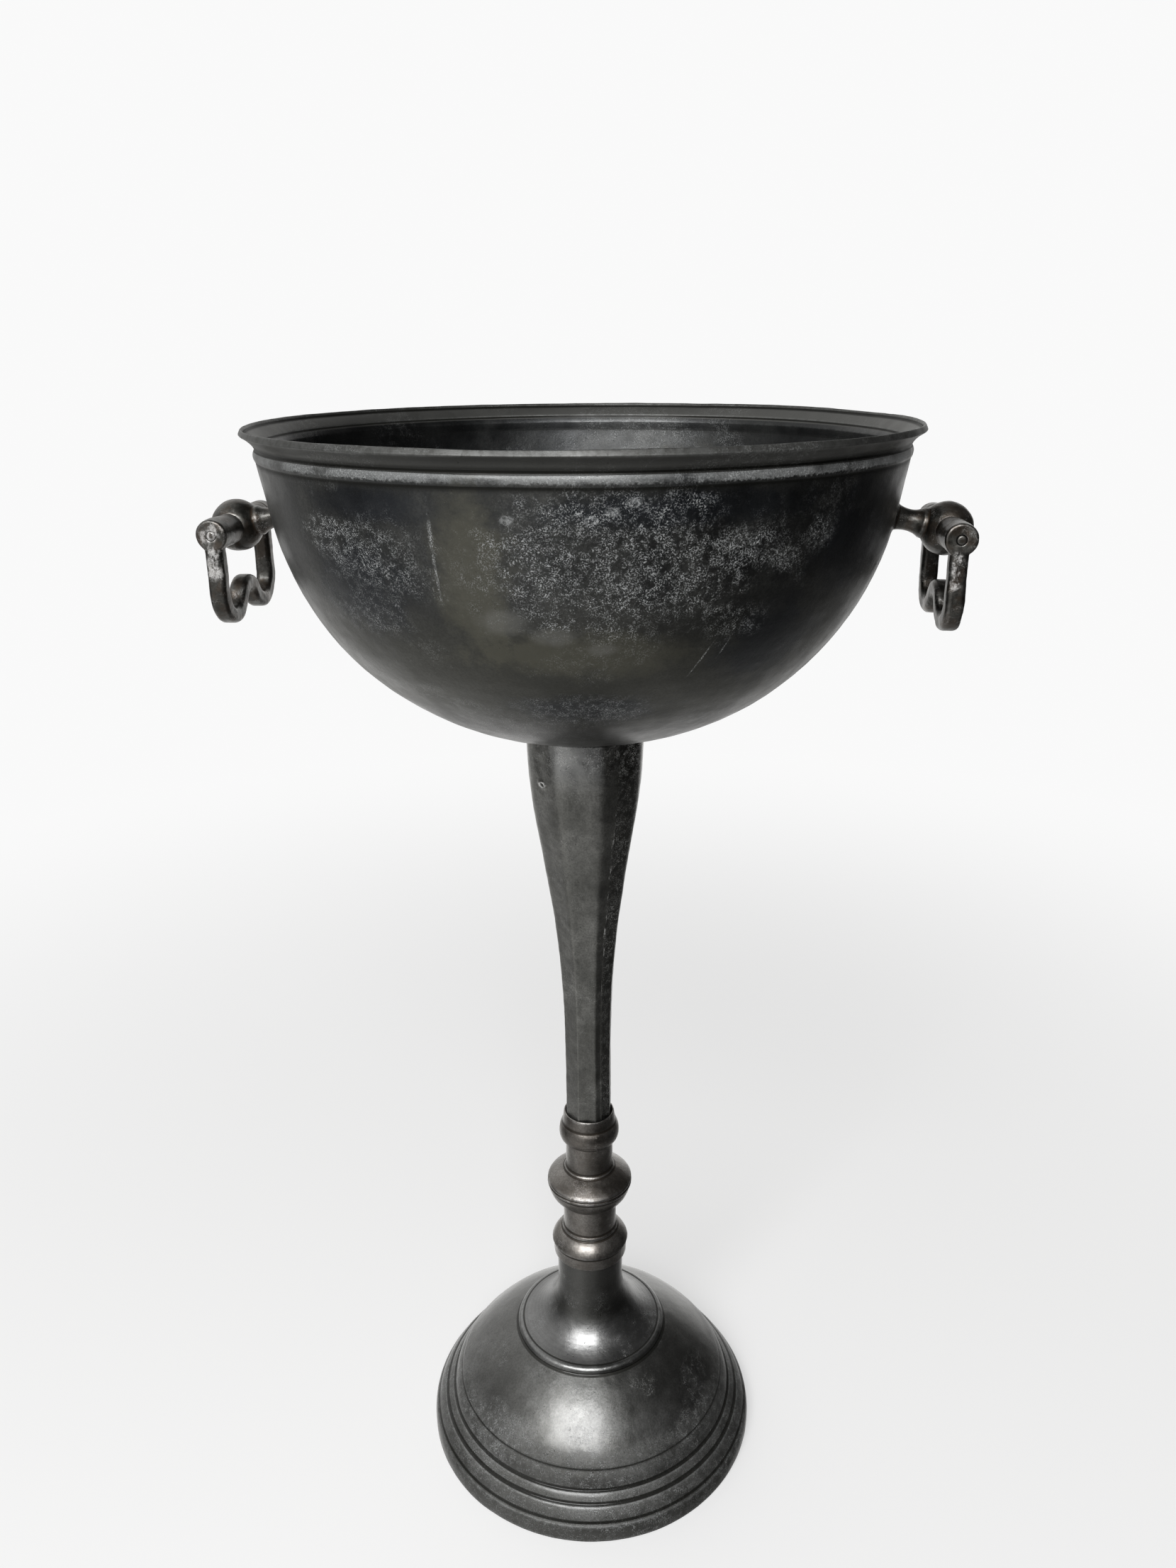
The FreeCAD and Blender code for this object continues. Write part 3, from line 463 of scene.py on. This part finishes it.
def cast_metal(
    name,
    dark,
    light,
    worn_and_highlight,
    grime_and_shade,
    rough=(0.34, 0.5),
    patch=0.045,
    speckle=0.35,
    pits=0.5,
    edge_gain=0.5,
    coat=0.3,
    extra=None,
):
    """Darkened cast aluminium: mottled patina, pale speckle that is partly painted glints, pits,
    worn edges that are partly painted highlights, and grooves darkened as painted shade.
    """
    s = Shader(name)
    mottle = s.span(s.noise(patch, 5, 0.6), 0.36, 0.64)
    cloud = s.span(s.noise(patch * 0.22, 6, 0.65), 0.3, 0.7)
    colour = s.mix(mottle, dark, light)
    colour = s.tinted(cloud, 0.45, colour, scaled(dark, 0.55))
    fleck = s.span(s.noise(1.4 * MM, 6, 0.72), 0.56, 0.42)
    colour = s.tinted(fleck, 0.4, colour, scaled(dark, 0.5))
    grain = s.noise(0.75 * MM, 5, 0.72)
    specks = s.span(grain, 0.505, 0.585)
    clusters = s.span(s.noise(5 * MM, 5, 0.7), 0.40, 0.58)
    patches = s.span(s.noise(patch * 0.9, 4, 0.6, (1, 1, 1.3)), 0.5, 0.62)
    where = s.times(patches, speckle)
    height = s.noise(3.2 * MM, 4, 0.6)
    marks, dull = 0.0, 0.0
    if extra:
        colour, where, marks, dull = extra(s, colour, where, specks)
    # The pale specks are partly chalky deposits and partly painted glints of a pitted surface.
    chalk_and_glints = s.times(s.times(specks, where), clusters)
    chalk_and_glints = s.plus(chalk_and_glints, marks, clamp=True)
    colour = s.mix(chalk_and_glints, colour, worn_and_highlight)
    pitted = s.times(s.span(s.noise(14 * MM, 3), 0.44, 0.58), pits)
    hole = s.times(s.span(s.noise(1.5 * MM, 3, 0.6), 0.36, 0.27), pitted)
    colour = s.mix(hole, colour, grime_and_shade)
    # Worn edges, partly painted highlight: convex edges are painted paler, both as wear and as the
    # thin bright lines that light draws along them.
    ragged = s.span(s.noise(4 * MM, 6, 0.7), 0.34, 0.62)
    edge = s.times(s.span(s.painted("edge"), 0.12, 0.7), ragged)
    colour = s.tinted(edge, edge_gain, colour, worn_and_highlight)
    # Painted shade: grooves and creases are painted darker; the same dark colour also fills the
    # pits.
    hollow = s.span(s.painted("hollow"), 0.055, 0.34)
    colour = s.tinted(hollow, 0.9, colour, grime_and_shade)
    roughness = s.span(s.noise(patch * 0.5, 5, 0.6), 0.3, 0.7, *rough)
    roughness = s.plus(roughness, s.times(dull, 0.22))
    roughness = s.plus(roughness, s.times(hollow, 0.2))
    roughness = s.minus(roughness, s.times(edge, 0.05), clamp=True)
    metallic = s.minus(1.0, s.times(chalk_and_glints, 0.7))
    normal = s.bumps(height, 0.12 * MM)
    normal = s.bumps(grain, 0.05 * MM, normal)
    normal = s.bumps(s.minus(chalk_and_glints, hole), 0.10 * MM, normal)
    return s.surface(colour, roughness, normal, metallic, coat)


# Marks on the bowl: the turn in degrees from the front, the drop below the rim in millimetres,
# the half width in degrees and the half height in millimetres.
# The first olive area, tall and narrow just left of the front, is a painted highlight: the satin
# reflection of a window.
OLIVE_AREAS_AND_SHEEN = [(-12, 60, 7, 50), (5, 100, 22, 15), (160, 70, 12, 45), (-80, 100, 14, 30)]
BLUE_BLACK_AREAS = [
    (-30, 28, 15, 10),
    (20, 28, 25, 10),
    (55, 50, 13, 30),
    (40, 100, 13, 28),
    (-35, 70, 12, 30),
    (5, 135, 20, 12),
    (100, 35, 30, 14),
    (-150, 50, 26, 20),
]
CRUSTS = [(6 + 3 * i, 32 - 4 * i, 1.1, 2.5) for i in range(3)]
CRUSTS += [(-6, 32, 1.1, 2.5), (95, 35, 1.1, 3.0), (-160, 28, 1.1, 2.5)]
BLOTCHES = [(30, 45, 4, 9), (37, 55, 4, 9), (44, 45, 4, 9), (175, 60, 5, 10)]
# Painted highlights: three soft pale spots low on the front of the bowl stand for glints reflected
# from the floor.
PAINTED_GLINTS = [(-8 + 8 * i, 82 + 7 * i, 5 - i, 8 - 2 * i) for i in range(3)]
# The same, and the strength of the speckle.
SPECKLED_FIELDS = [
    (10, 55, 25, 35, 1.0),
    (10, 25, 18, 8, 0.5),
    (-30, 55, 13, 25, 0.55),
    (-40, 45, 8, 12, 0.8),
    (-35, 85, 12, 15, 0.4),
    (30, 85, 8, 12, 0.5),
    (5, 135, 18, 12, 0.6),
    (95, 50, 18, 40, 0.7),
    (150, 60, 20, 40, 0.8),
    (-120, 80, 22, 50, 0.6),
    (-165, 45, 10, 20, 0.8),
]
# The same, and the lean in degrees for each metre up.
SCRATCHES = [
    (-18, 40, 0.4, 12, 0),
    (-18, 62, 0.3, 15, 0),
    (130, 60, 0.4, 26, 0),
    (26, 105, 0.2, 10, 150),
    (30, 98, 0.2, 7, 120),
]
LOW_OLIVE_SHADE = (0.068, 0.067, 0.053)
OLIVE = (0.135, 0.131, 0.102)
BLUE_BLACK = (0.030, 0.034, 0.042)
INSIDE_SHADE = (0.032, 0.033, 0.034)
UNDERSIDE_SHADE = (0.026, 0.026, 0.025)
PAINTED_GLINT_GREY = (0.25, 0.25, 0.235)
LIP_GREY = (0.125, 0.125, 0.118)
CREST_GREY = (0.050, 0.050, 0.047)
GROOVE_SHADOW = (0.010, 0.010, 0.009)


def bowl_marks(s, colour, where, specks):
    """The bowl's marks: blue-black and olive areas, speckle, crusts, scratches and bands, with
    painted shade inside, underneath, low down and in the groove, and painted highlights for a
    window and three glints.
    """
    faces = s.node("ShaderNodeNewGeometry").outputs["Normal"]
    from_centre = s.vector("SUBTRACT", s.place, BOWL_CENTRE, "Vector")
    inside = s.span(s.vector("DOT_PRODUCT", from_centre, faces), 0.0, -0.02)
    not_inside = s.minus(1.0, inside)
    wide = s.waver(16 * MM, 1.6)
    small = s.waver(2.2 * MM, 2.2)
    soft = s.waver(6 * MM, 0.7)
    thin = s.waver(5 * MM, 3.4)

    def spots(places, border):
        """Ovals at these turns and drops below the rim."""
        return [
            s.blob(turn, RIM - drop * MM, across, tall * MM, border, *lean)
            for turn, drop, across, tall, *lean in places
        ]

    # Painted shade: the lower bowl is painted darker and more olive.
    low = s.span(s.z, RIM - 60 * MM, RIM - 110 * MM, 0.0, 0.5)
    colour = s.mix(low, colour, LOW_OLIVE_SHADE)
    colour = s.tinted(sum_of(s, spots(OLIVE_AREAS_AND_SHEEN, wide)), 0.6, colour, OLIVE)
    colour = s.tinted(sum_of(s, spots(BLUE_BLACK_AREAS, wide)), 0.7, colour, BLUE_BLACK)
    # Painted shade: the inside of the bowl is painted darker.
    colour = s.tinted(inside, 0.6, colour, INSIDE_SHADE)
    # Painted shade: the bottom of the bowl is painted darker.
    underside_shade = s.span(s.z, RIM - 130 * MM, RIM - 160 * MM, 0.0, 0.85)
    colour = s.mix(underside_shade, colour, UNDERSIDE_SHADE)
    fields = spots([field[:4] for field in SPECKLED_FIELDS], wide)
    fields = [s.times(field, place[4]) for field, place in zip(fields, SPECKLED_FIELDS)]
    where = s.plus(where, s.times(sum_of(s, fields), not_inside), clamp=True)
    crust = sum_of(s, spots(CRUSTS, small))
    ring = s.times(s.times(crust, s.minus(1.3, crust)), 2.2)
    lines = spots(SCRATCHES, thin)
    blotch = s.times(sum_of(s, spots(BLOTCHES, wide)), s.span(small, -0.25, 0.3))
    # Painted glints, kept off the inside.
    painted_glint = s.times(sum_of(s, spots(PAINTED_GLINTS, soft)), not_inside)
    colour = s.tinted(painted_glint, 0.38, colour, PAINTED_GLINT_GREY)
    flat = s.node("ShaderNodeCombineXYZ", {0: s.x, 1: s.y}).outputs[0]
    outside = s.span(s.vector("LENGTH", flat), *BEAD_REACH)
    torn = s.plus(s.z, s.times(small, 2.4 * MM))
    bead = s.times(s.span(torn, *PALE_BAND_FROM), s.span(s.z, *PALE_BAND_TO))
    bead = s.times(s.times(bead, outside), s.span(s.noise(26 * MM, 4, 0.6), 0.34, 0.6, 0.15, 1.0))
    groove = s.times(s.band(s.z, GROOVE_FROM, GROOVE_TO), outside)
    lip = s.span(s.z, *LIP_FROM)
    colour = s.tinted(lip, 0.75, colour, LIP_GREY)
    colour = s.tinted(s.span(s.z, *CREST_FROM), 0.75, colour, CREST_GREY)
    # Painted shadow: the groove under the lip is painted near black.
    colour = s.tinted(groove, 0.85, colour, GROOVE_SHADOW)
    marks = s.times(sum_of(s, [*lines, blotch]), s.span(specks, 0, 1, 0.15, 0.7))
    marks = s.plus(marks, s.times(ring, s.span(small, -0.40, 0.45, 0.0, 0.85)), clamp=True)
    marks = s.plus(marks, s.times(bead, s.span(specks, 0, 1, 0.35, 0.6)))
    return colour, where, s.times(marks, not_inside), s.plus(lip, bead, clamp=True)


def stem_marks(s, colour, where, specks):
    """The stem's marks: a painted highlight at the top front, painted shade past the seam, file
    marks, a flaked patch, a crater and a rough seam.
    """
    top = STEM_HIGH.z
    flaked = s.near((-10 * MM, STEM_LOW.y, top - 6 * MM), 10 * MM, 0.9)
    filed = s.span(s.noise(1.6 * MM, 4, 0.65, (1, 1, 0.07)), 0.5, 0.62)
    ahead = s.band(s.turn, (-38, -20), (24, 18))
    # Painted highlight: the top of the front facets is painted paler.
    painted_top_highlight = s.times(s.span(s.z, top - 35 * MM, top - 10 * MM), ahead)
    colour = s.tinted(painted_top_highlight, 0.6, colour, (0.34, 0.345, 0.35))
    colour = s.tinted(filed, 0.10, colour, (0.27, 0.27, 0.26))
    # Painted shade: the facets from the seam round to the right are painted darker; the same side
    # also gets more speckle.
    seam_side = s.band(s.turn, (36, 41), (110, 90))
    colour = s.tinted(seam_side, 0.65, colour, (0.045, 0.045, 0.040))
    scars = s.blob(38, top - 120 * MM, 2.2, 70 * MM, s.waver(4 * MM, 2.4))
    where = s.plus(where, s.times(seam_side, 0.3), clamp=True)
    where = s.plus(where, s.times(s.span(s.z, 0.53, 0.56), 0.3), clamp=True)
    marks = s.times(flaked, s.span(specks, 0, 1, 0.35, 1.0))
    crater = s.blob(-45, top - CRATER_DROP, 5.5, 2 * MM, s.waver(1.6 * MM, 1.2), 600)
    ring = s.times(s.times(crater, s.minus(1.15, crater)), 3.0)
    marks = s.plus(marks, ring, clamp=True)
    marks = s.plus(marks, s.times(scars, s.span(filed, 0, 1, 0.0, 0.5)), clamp=True)
    glossy = s.times(s.span(s.z, 0.515, 0.545), -0.55)
    return colour, where, marks, glossy


def foot_marks(s, colour, where, specks):
    """The foot's marks: a flare painted paler as a highlight, a dull neck and speckled steps round
    the rim.
    """
    steps = s.span(s.z, *FOOT_STEPS_TO)
    where = s.plus(where, s.times(steps, 0.35), clamp=True)
    colour = s.tinted(s.span(s.z, *FOOT_NECK_FROM), 0.6, colour, (0.060, 0.060, 0.055))
    flare = s.band(s.z, FOOT_FLARE_FROM, FOOT_FLARE_TO)
    # Painted highlight: the flare is painted paler.
    colour = s.tinted(flare, 0.4, colour, (0.26, 0.262, 0.265))
    colour = s.tinted(s.span(s.z, *FOOT_SKIRT_TO), 0.5, colour, (0.070, 0.070, 0.063))
    dull = s.minus(steps, s.times(flare, 0.35))
    return colour, where, 0.0, dull


# Rubbed faces of the handles: the side, the face's y, then in millimetres how far outward of
# the hinge and how far below it, and the radius.
LOOP_MIDDLE = 0.4 * LOOP_LOW.y
RUBBED = [
    (-1, LOOP_LOW.y, 0, 10, 5),
    (-1, LOOP_LOW.y, 0, 20, 8),
    (-1, LOOP_LOW.y, -3, -3, 5),
    (-1, LOOP_LOW.y, 2, 0, 6),
    (-1, LOOP_HIGH.y, 0, 15, 6),
    (-1, LOOP_MIDDLE, 0, 38, 4.5),
    *((1, LOOP_LOW.y, -2, drop, 4) for drop in (10, 17, 25)),
    (1, LOOP_HIGH.y, 0, 20, 7),
    (1, LOOP_MIDDLE, 0, 38, 4.5),
]


def handle_marks(s, colour, where, specks):
    """The handles' own marks: faces rubbed bright by hands, and brown in places."""
    hinge_x, hinge_z = (HINGE_LOW.x + HINGE_HIGH.x) / 2, (HINGE_LOW.z + HINGE_HIGH.z) / 2
    rubbed = [
        s.near((side * (hinge_x + out * MM), face, hinge_z - drop * MM), size * MM, 1.0)
        for side, face, out, drop, size in RUBBED
    ]
    torn = s.span(s.noise(3.5 * MM, 5, 0.7, (1, 1, 0.6)), 0.40, 0.56)
    bright = s.times(sum_of(s, rubbed), s.times(torn, s.span(specks, 0, 1, 0.6, 1.0)))
    brown = s.span(s.noise(11 * MM, 4, 0.6), 0.46, 0.6)
    colour = s.tinted(brown, 0.55, colour, (0.075, 0.055, 0.040))
    return colour, where, bright, 0.0


def steel(name, colour, rough, brushed):
    """Machined or drawn steel with fine tool marks, faint stains and painted shade in its hollows.
    """
    s = Shader(name)
    marks = s.noise(0.5 * MM, 4, 0.6, brushed)
    stain = s.span(s.noise(6 * MM, 5, 0.6), 0.45, 0.7)
    shade = s.tinted(s.span(marks, 0.3, 0.7), 0.35, colour, scaled(colour, 0.6))
    shade = s.tinted(stain, 0.35, shade, (0.16, 0.13, 0.10))
    # Painted shade: the hollows are painted darker.
    shade = s.tinted(s.painted("hollow"), 0.7, shade, (0.03, 0.028, 0.025))
    roughness = s.span(stain, 0, 1, rough, rough + 0.22)
    return s.surface(shade, roughness, s.bumps(marks, 0.02 * MM))


def rubber(name):
    """Black moulded rubber, dusty in places."""
    s = Shader(name)
    dust = s.span(s.noise(4 * MM, 5, 0.65), 0.45, 0.7)
    colour = s.tinted(dust, 0.5, (0.012, 0.012, 0.012), (0.05, 0.048, 0.045))
    roughness = s.span(dust, 0, 1, 0.55, 0.85)
    return s.surface(colour, roughness, s.bumps(s.noise(0.7 * MM, 3), 0.03 * MM), 0.0)


BOWL = cast_metal(
    "bowl_patina",
    dark=(0.055, 0.057, 0.058),
    light=(0.100, 0.101, 0.096),
    worn_and_highlight=(0.34, 0.35, 0.35),
    grime_and_shade=(0.014, 0.014, 0.012),
    patch=0.055,
    speckle=0.25,
    edge_gain=0.15,
    coat=0.15,
    extra=bowl_marks,
)
STEM = cast_metal(
    "stem_patina",
    dark=(0.150, 0.150, 0.140),
    light=(0.270, 0.270, 0.255),
    worn_and_highlight=(0.50, 0.50, 0.49),
    grime_and_shade=(0.02, 0.02, 0.017),
    patch=0.035,
    speckle=0.2,
    edge_gain=0.3,
    extra=stem_marks,
)
BALUSTER = cast_metal(
    "baluster_patina",
    dark=(0.145, 0.130, 0.115),
    light=(0.260, 0.248, 0.232),
    worn_and_highlight=(0.50, 0.49, 0.48),
    grime_and_shade=(0.03, 0.024, 0.018),
    rough=(0.32, 0.46),
    patch=0.03,
    speckle=0.35,
    pits=1.0,
    coat=0.5,
)
FOOT = cast_metal(
    "foot_patina",
    dark=(0.120, 0.120, 0.114),
    light=(0.190, 0.191, 0.186),
    worn_and_highlight=(0.40, 0.41, 0.41),
    grime_and_shade=(0.020, 0.020, 0.017),
    rough=(0.38, 0.50),
    patch=0.05,
    pits=1.0,
    edge_gain=0.35,
    coat=0.6,
    extra=foot_marks,
)
HANDLE = cast_metal(
    "handle_patina",
    dark=(0.060, 0.058, 0.052),
    light=(0.125, 0.122, 0.113),
    worn_and_highlight=(0.60, 0.59, 0.58),
    grime_and_shade=(0.035, 0.024, 0.016),
    rough=(0.38, 0.52),
    patch=0.014,
    speckle=0.3,
    edge_gain=0.15,
    coat=0.35,
    extra=handle_marks,
)
STEEL = steel("zinc_steel", (0.42, 0.42, 0.41), 0.3, (1, 1, 3))
RUBBER = rubber("black_rubber")

# ---------------------------------------------------------------- pieces


# Nicks in the baluster: the place in metres and the size in millimetres.
NICKS = [
    (0.0300, 0.0035, 0.2065, 1.6),
    (0.0285, 0.0030, 0.2115, 1.1),
    (-0.0190, -0.0130, 0.2640, 1.3),
    (0.0170, -0.0080, 0.2740, 1.5),
    (-0.0100, -0.0270, 0.1850, 1.2),
    (-0.0160, 0.0240, 0.2070, 1.5),
]


def make_turned():
    """The bowl, the foot and the baluster."""
    uneven = [(60 * MM, 0.5 * MM), (9 * MM, 0.14 * MM)]
    bowl = turned(
        "bowl_casting", "bowl", 320, 0.5 * MM, uneven, 3.2 * MM, 0.0012, dressed_bead
    )
    finish_piece("bowl_casting", bowl, ["bowl"], BOWL)
    uneven = [(35 * MM, 0.25 * MM), (6 * MM, 0.10 * MM)]
    foot = turned("foot_casting", "foot", 256, 0.28 * MM, uneven, 2.6 * MM, 0.0008)
    finish_piece("foot_casting", foot, ["foot"], FOOT)
    uneven = [(16 * MM, 0.2 * MM), (4 * MM, 0.09 * MM)]
    baluster = turned("baluster_casting", "baluster", 176, 0.25 * MM, uneven, 1.6 * MM, 0.002)
    dent(baluster, NICKS, 0.7 * MM)
    finish_piece("baluster_casting", baluster, ["baluster"], BALUSTER)


def make_stem():
    """The eight-sided stem, its corners dressed by hand: soft at the top, crisp at the bottom."""
    rows = resample(outline("stem"), 1.1 * MM)
    bore = rows[:, 0].min() + 1 * MM
    rows = np.array([row for i, row in enumerate(rows) if row[0] > bore or i % 16 == 0])
    sides = 232
    angle = np.linspace(0, 2 * np.pi, sides, endpoint=False)
    points, edge = [], []
    for radius, height in rows:
        up = (height - STEM_LOW.z) / (STEM_HIGH.z - STEM_LOW.z)
        crisp = 75 * (1 - up) ** 1.6 + 15
        outside = radius > bore
        total = np.zeros(sides)
        for k in range(8):
            facing = np.cos(angle - k * np.pi / 4)
            wander = noise.noise(Vector((0.7 * k, height / 0.045, 2.0)))
            offset = 1 + 0.012 * wander if outside else 1
            total += (np.clip(facing, 0, None) / offset) ** crisp
        reach = radius * total ** (-1 / crisp) if outside else np.full(sides, radius)
        if outside:
            seam = np.exp(-(((np.degrees(angle) - SEAM_ANGLE) / 2.4) ** 2))
            reach = reach + 0.5 * MM * seam * (1 - 0.5 * up)
        points += [(r * math.cos(a), r * math.sin(a), height) for r, a in zip(reach, angle)]
        corner = np.abs((angle / (np.pi / 4)) % 1 - 0.5) * np.pi / 4
        worn_and_highlight = np.exp(-((corner / (0.04 + 0.05 * up)) ** 2)) * 0.16
        edge += list(worn_and_highlight if outside else np.zeros(sides))
    mesh = mesh_of("stem_casting", points, grid_faces(len(rows), sides))
    co = points_of(mesh)
    crater_height = STEM_HIGH.z - CRATER_DROP
    nearby = [radius for radius, height in rows if abs(height - crater_height) < 2 * MM]
    reach = max(nearby) * math.sqrt(0.5)
    from_centre = co - np.array([-reach, -reach, crater_height])
    from_centre[:, 2] = 1.8 * from_centre[:, 2] + 0.5 * from_centre[:, 0]
    crater = np.linalg.norm(from_centre, axis=1) / (3.0 * MM)
    ring = 0.5 * MM * (np.exp(-((crater - 1) ** 2) * 6) - 1.2 * np.exp(-(crater**2) * 3))
    push(mesh, ring + unevenness(co, [(22 * MM, 0.22 * MM), (5 * MM, 0.12 * MM)], 4.0))
    paint(mesh, "edge", np.array(edge) + np.exp(-((crater - 1) ** 2) * 6) * 0.8)
    # Painted shade: the crater's middle is painted darker; its rim pales with the edges.
    paint(mesh, "hollow", np.exp(-(crater**2) * 4))
    finish_piece("stem_casting", mesh, ["stem"], STEM)


def make_handles():
    """At each side the loop, its boss and the pin between them."""
    for shift, side in ((0.0, "left"), (9.0, "right")):
        for part, made, voxel, rounds, layers, away, slot in (
            ("_loop", "_loop_casting", 0.45, 2, [(10, 0.4), (2.8, 0.09)], shift, "handle_metal"),
            ("_boss", "_boss_casting", 0.5, 2, [(8, 0.3), (2.4, 0.08)], shift + 3, "handle_metal"),
            ("_hinge_pin", "_peened_pin", 0.4, 4, [(2.5, 0.1)], shift, "steel"),
        ):
            layers = [(wavelength * MM, height * MM) for wavelength, height in layers]
            mesh = recast(side + made, side + part, voxel * MM, rounds, layers, away)
            finish_piece(side + made, mesh, [side + part], HANDLE)


def make_hardware():
    """The fasteners of zinc steel, then the rubber seals and pads."""
    fasteners = ["bowl_cap_nut", "bowl_washer", "foot_washer", "foot_spring_washer", "foot_nut"]
    fasteners += ["tie_rod", "left_boss_washer", "left_boss_bolt"]
    fasteners += ["right_boss_washer", "right_boss_bolt"]
    for node in fasteners:
        voxel = 0.9 * MM if node == "tie_rod" else 0.4 * MM
        mesh = recast(node + "_metal", node, voxel, 2, [])
        finish_piece(node + "_metal", mesh, [node], STEEL)
    for node in ("bowl_seal", "left_boss_seal", "right_boss_seal", "foot_pads"):
        mesh = recast(node + "_rubber", node, 0.35 * MM, 2, [])
        finish_piece(node + "_rubber", mesh, [node], RUBBER)


make_turned()
make_stem()
make_handles()
make_hardware()

# ---------------------------------------------------------------- studio

PALE = 0.95


def direction(azimuth, elevation):
    """The direction toward a place in the room; azimuth 0 is the front and 90 is +X."""
    a, e = math.radians(azimuth), math.radians(elevation)
    return Vector((math.sin(a) * math.cos(e), -math.cos(a) * math.cos(e), math.sin(e)))


def softbox(name, azimuth, elevation, distance, width, height, radiance):
    """A soft light, placed as seen from the middle of the stand."""
    back = direction(azimuth, elevation)
    light = bpy.data.lights.new(name, "AREA")
    light.shape = "RECTANGLE"
    light.size, light.size_y = width, height
    light.energy = radiance * math.pi * width * height
    lamp = bpy.data.objects.new(name, light)
    bpy.context.scene.collection.objects.link(lamp)
    lamp.location = Vector((0, 0, 0.3)) + back * distance
    lamp.rotation_mode = "QUATERNION"
    lamp.rotation_quaternion = back.to_track_quat("Z", "Y")


def make_floor():
    """A pale floor that glows more the farther it is from the stand."""
    s = Shader("studio_floor")
    far = s.span(s.vector("LENGTH", s.place), 0.2, 1.6, 0.5, 1.0)
    pale = s.node("ShaderNodeBsdfDiffuse", {"Color": (0.8, 0.8, 0.8, 1)})
    glow = s.node("ShaderNodeEmission", {"Color": (1, 1, 1, 1), "Strength": PALE})
    both = s.node("ShaderNodeMixShader", {0: far, 1: pale.outputs[0], 2: glow.outputs[0]})
    out = s.node("ShaderNodeOutputMaterial")
    s.links.new(both.outputs[0], out.inputs[0])
    mesh = bpy.data.meshes.new("studio_floor")
    reach = 40
    corners = [(-reach, -reach, 0), (reach, -reach, 0), (reach, reach, 0), (-reach, reach, 0)]
    mesh.from_pydata(corners, [], [(0, 1, 2, 3)])
    mesh.materials.append(s.material)
    floor = bpy.data.objects.new("studio_floor", mesh)
    bpy.context.scene.collection.objects.link(floor)
    floor.visible_glossy = False


# Soft bright areas of the room: azimuth, elevation, inner and outer radius in degrees, strength.
GLOWS = [
    (-38, -14, 8, 42, 0.55),
    (-155, 5, 15, 70, 0.6),
    (165, 0, 5, 30, 0.5),
    (180, -30, 10, 55, 0.25),
]


def make_world():
    """A pale room: bright behind the stand, dim in front and dark on the right."""
    world = bpy.data.worlds.new("studio")
    bpy.context.scene.world = world
    world.use_nodes = True
    s = Nodes(world.node_tree)
    ray = s.node("ShaderNodeTexCoord").outputs["Generated"]
    x, y, z = s.node("ShaderNodeSeparateXYZ", {"Vector": ray}).outputs
    parts = [
        s.times(s.span(z, 0.05, 0.5), s.span(x, 0.35, -0.8, 0.05, 0.60)),
        s.times(s.span(z, -0.25, -0.65), s.span(x, 0.75, -0.05, 0.07, 0.52)),
    ]
    for azimuth, elevation, inner, outer, strength in GLOWS:
        facing = s.vector("DOT_PRODUCT", ray, direction(azimuth, elevation))
        edge, full = (math.cos(math.radians(a)) for a in (outer, inner))
        parts.append(s.span(facing, edge, full, 0.0, strength))
    total = 0.022
    for part in parts:
        total = s.plus(total, part)
    seen = s.node("ShaderNodeLightPath").outputs["Is Camera Ray"]
    room = s.node("ShaderNodeBackground", {"Color": (1, 0.995, 0.98, 1), "Strength": total})
    plain = s.node("ShaderNodeBackground", {"Color": (1, 1, 1, 1), "Strength": PALE})
    both = s.node("ShaderNodeMixShader", {0: seen, 1: room.outputs[0], 2: plain.outputs[0]})
    out = s.node("ShaderNodeOutputWorld")
    s.links.new(both.outputs[0], out.inputs[0])


def make_camera():
    """The photograph's camera: a little to the right of the front, looking down."""
    azimuth, pitch, pan, roll = (math.radians(a) for a in (5.0, 20.41, 0.1, -0.47))
    away, height = 0.7316, 0.797
    camera = bpy.data.cameras.new("camera")
    camera.lens = 27.67
    camera.sensor_width = 36
    camera.clip_start = 0.02
    holder = bpy.data.objects.new("camera", camera)
    bpy.context.scene.collection.objects.link(holder)
    holder.location = (away * math.sin(azimuth), -away * math.cos(azimuth), height)
    heading = azimuth - pan
    level = Vector((-math.sin(heading), math.cos(heading), 0)) * math.cos(pitch)
    ahead = level - Vector((0, 0, math.sin(pitch)))
    holder.rotation_mode = "QUATERNION"
    holder.rotation_quaternion = ahead.to_track_quat("-Z", "Y") @ Quaternion((0, 0, 1), roll)
    bpy.context.scene.camera = holder


make_floor()
make_world()
make_camera()
softbox("key", -10, 41, 2.4, 1.7, 1.0, 12.5)
bpy.context.scene.view_settings.view_transform = "Standard"
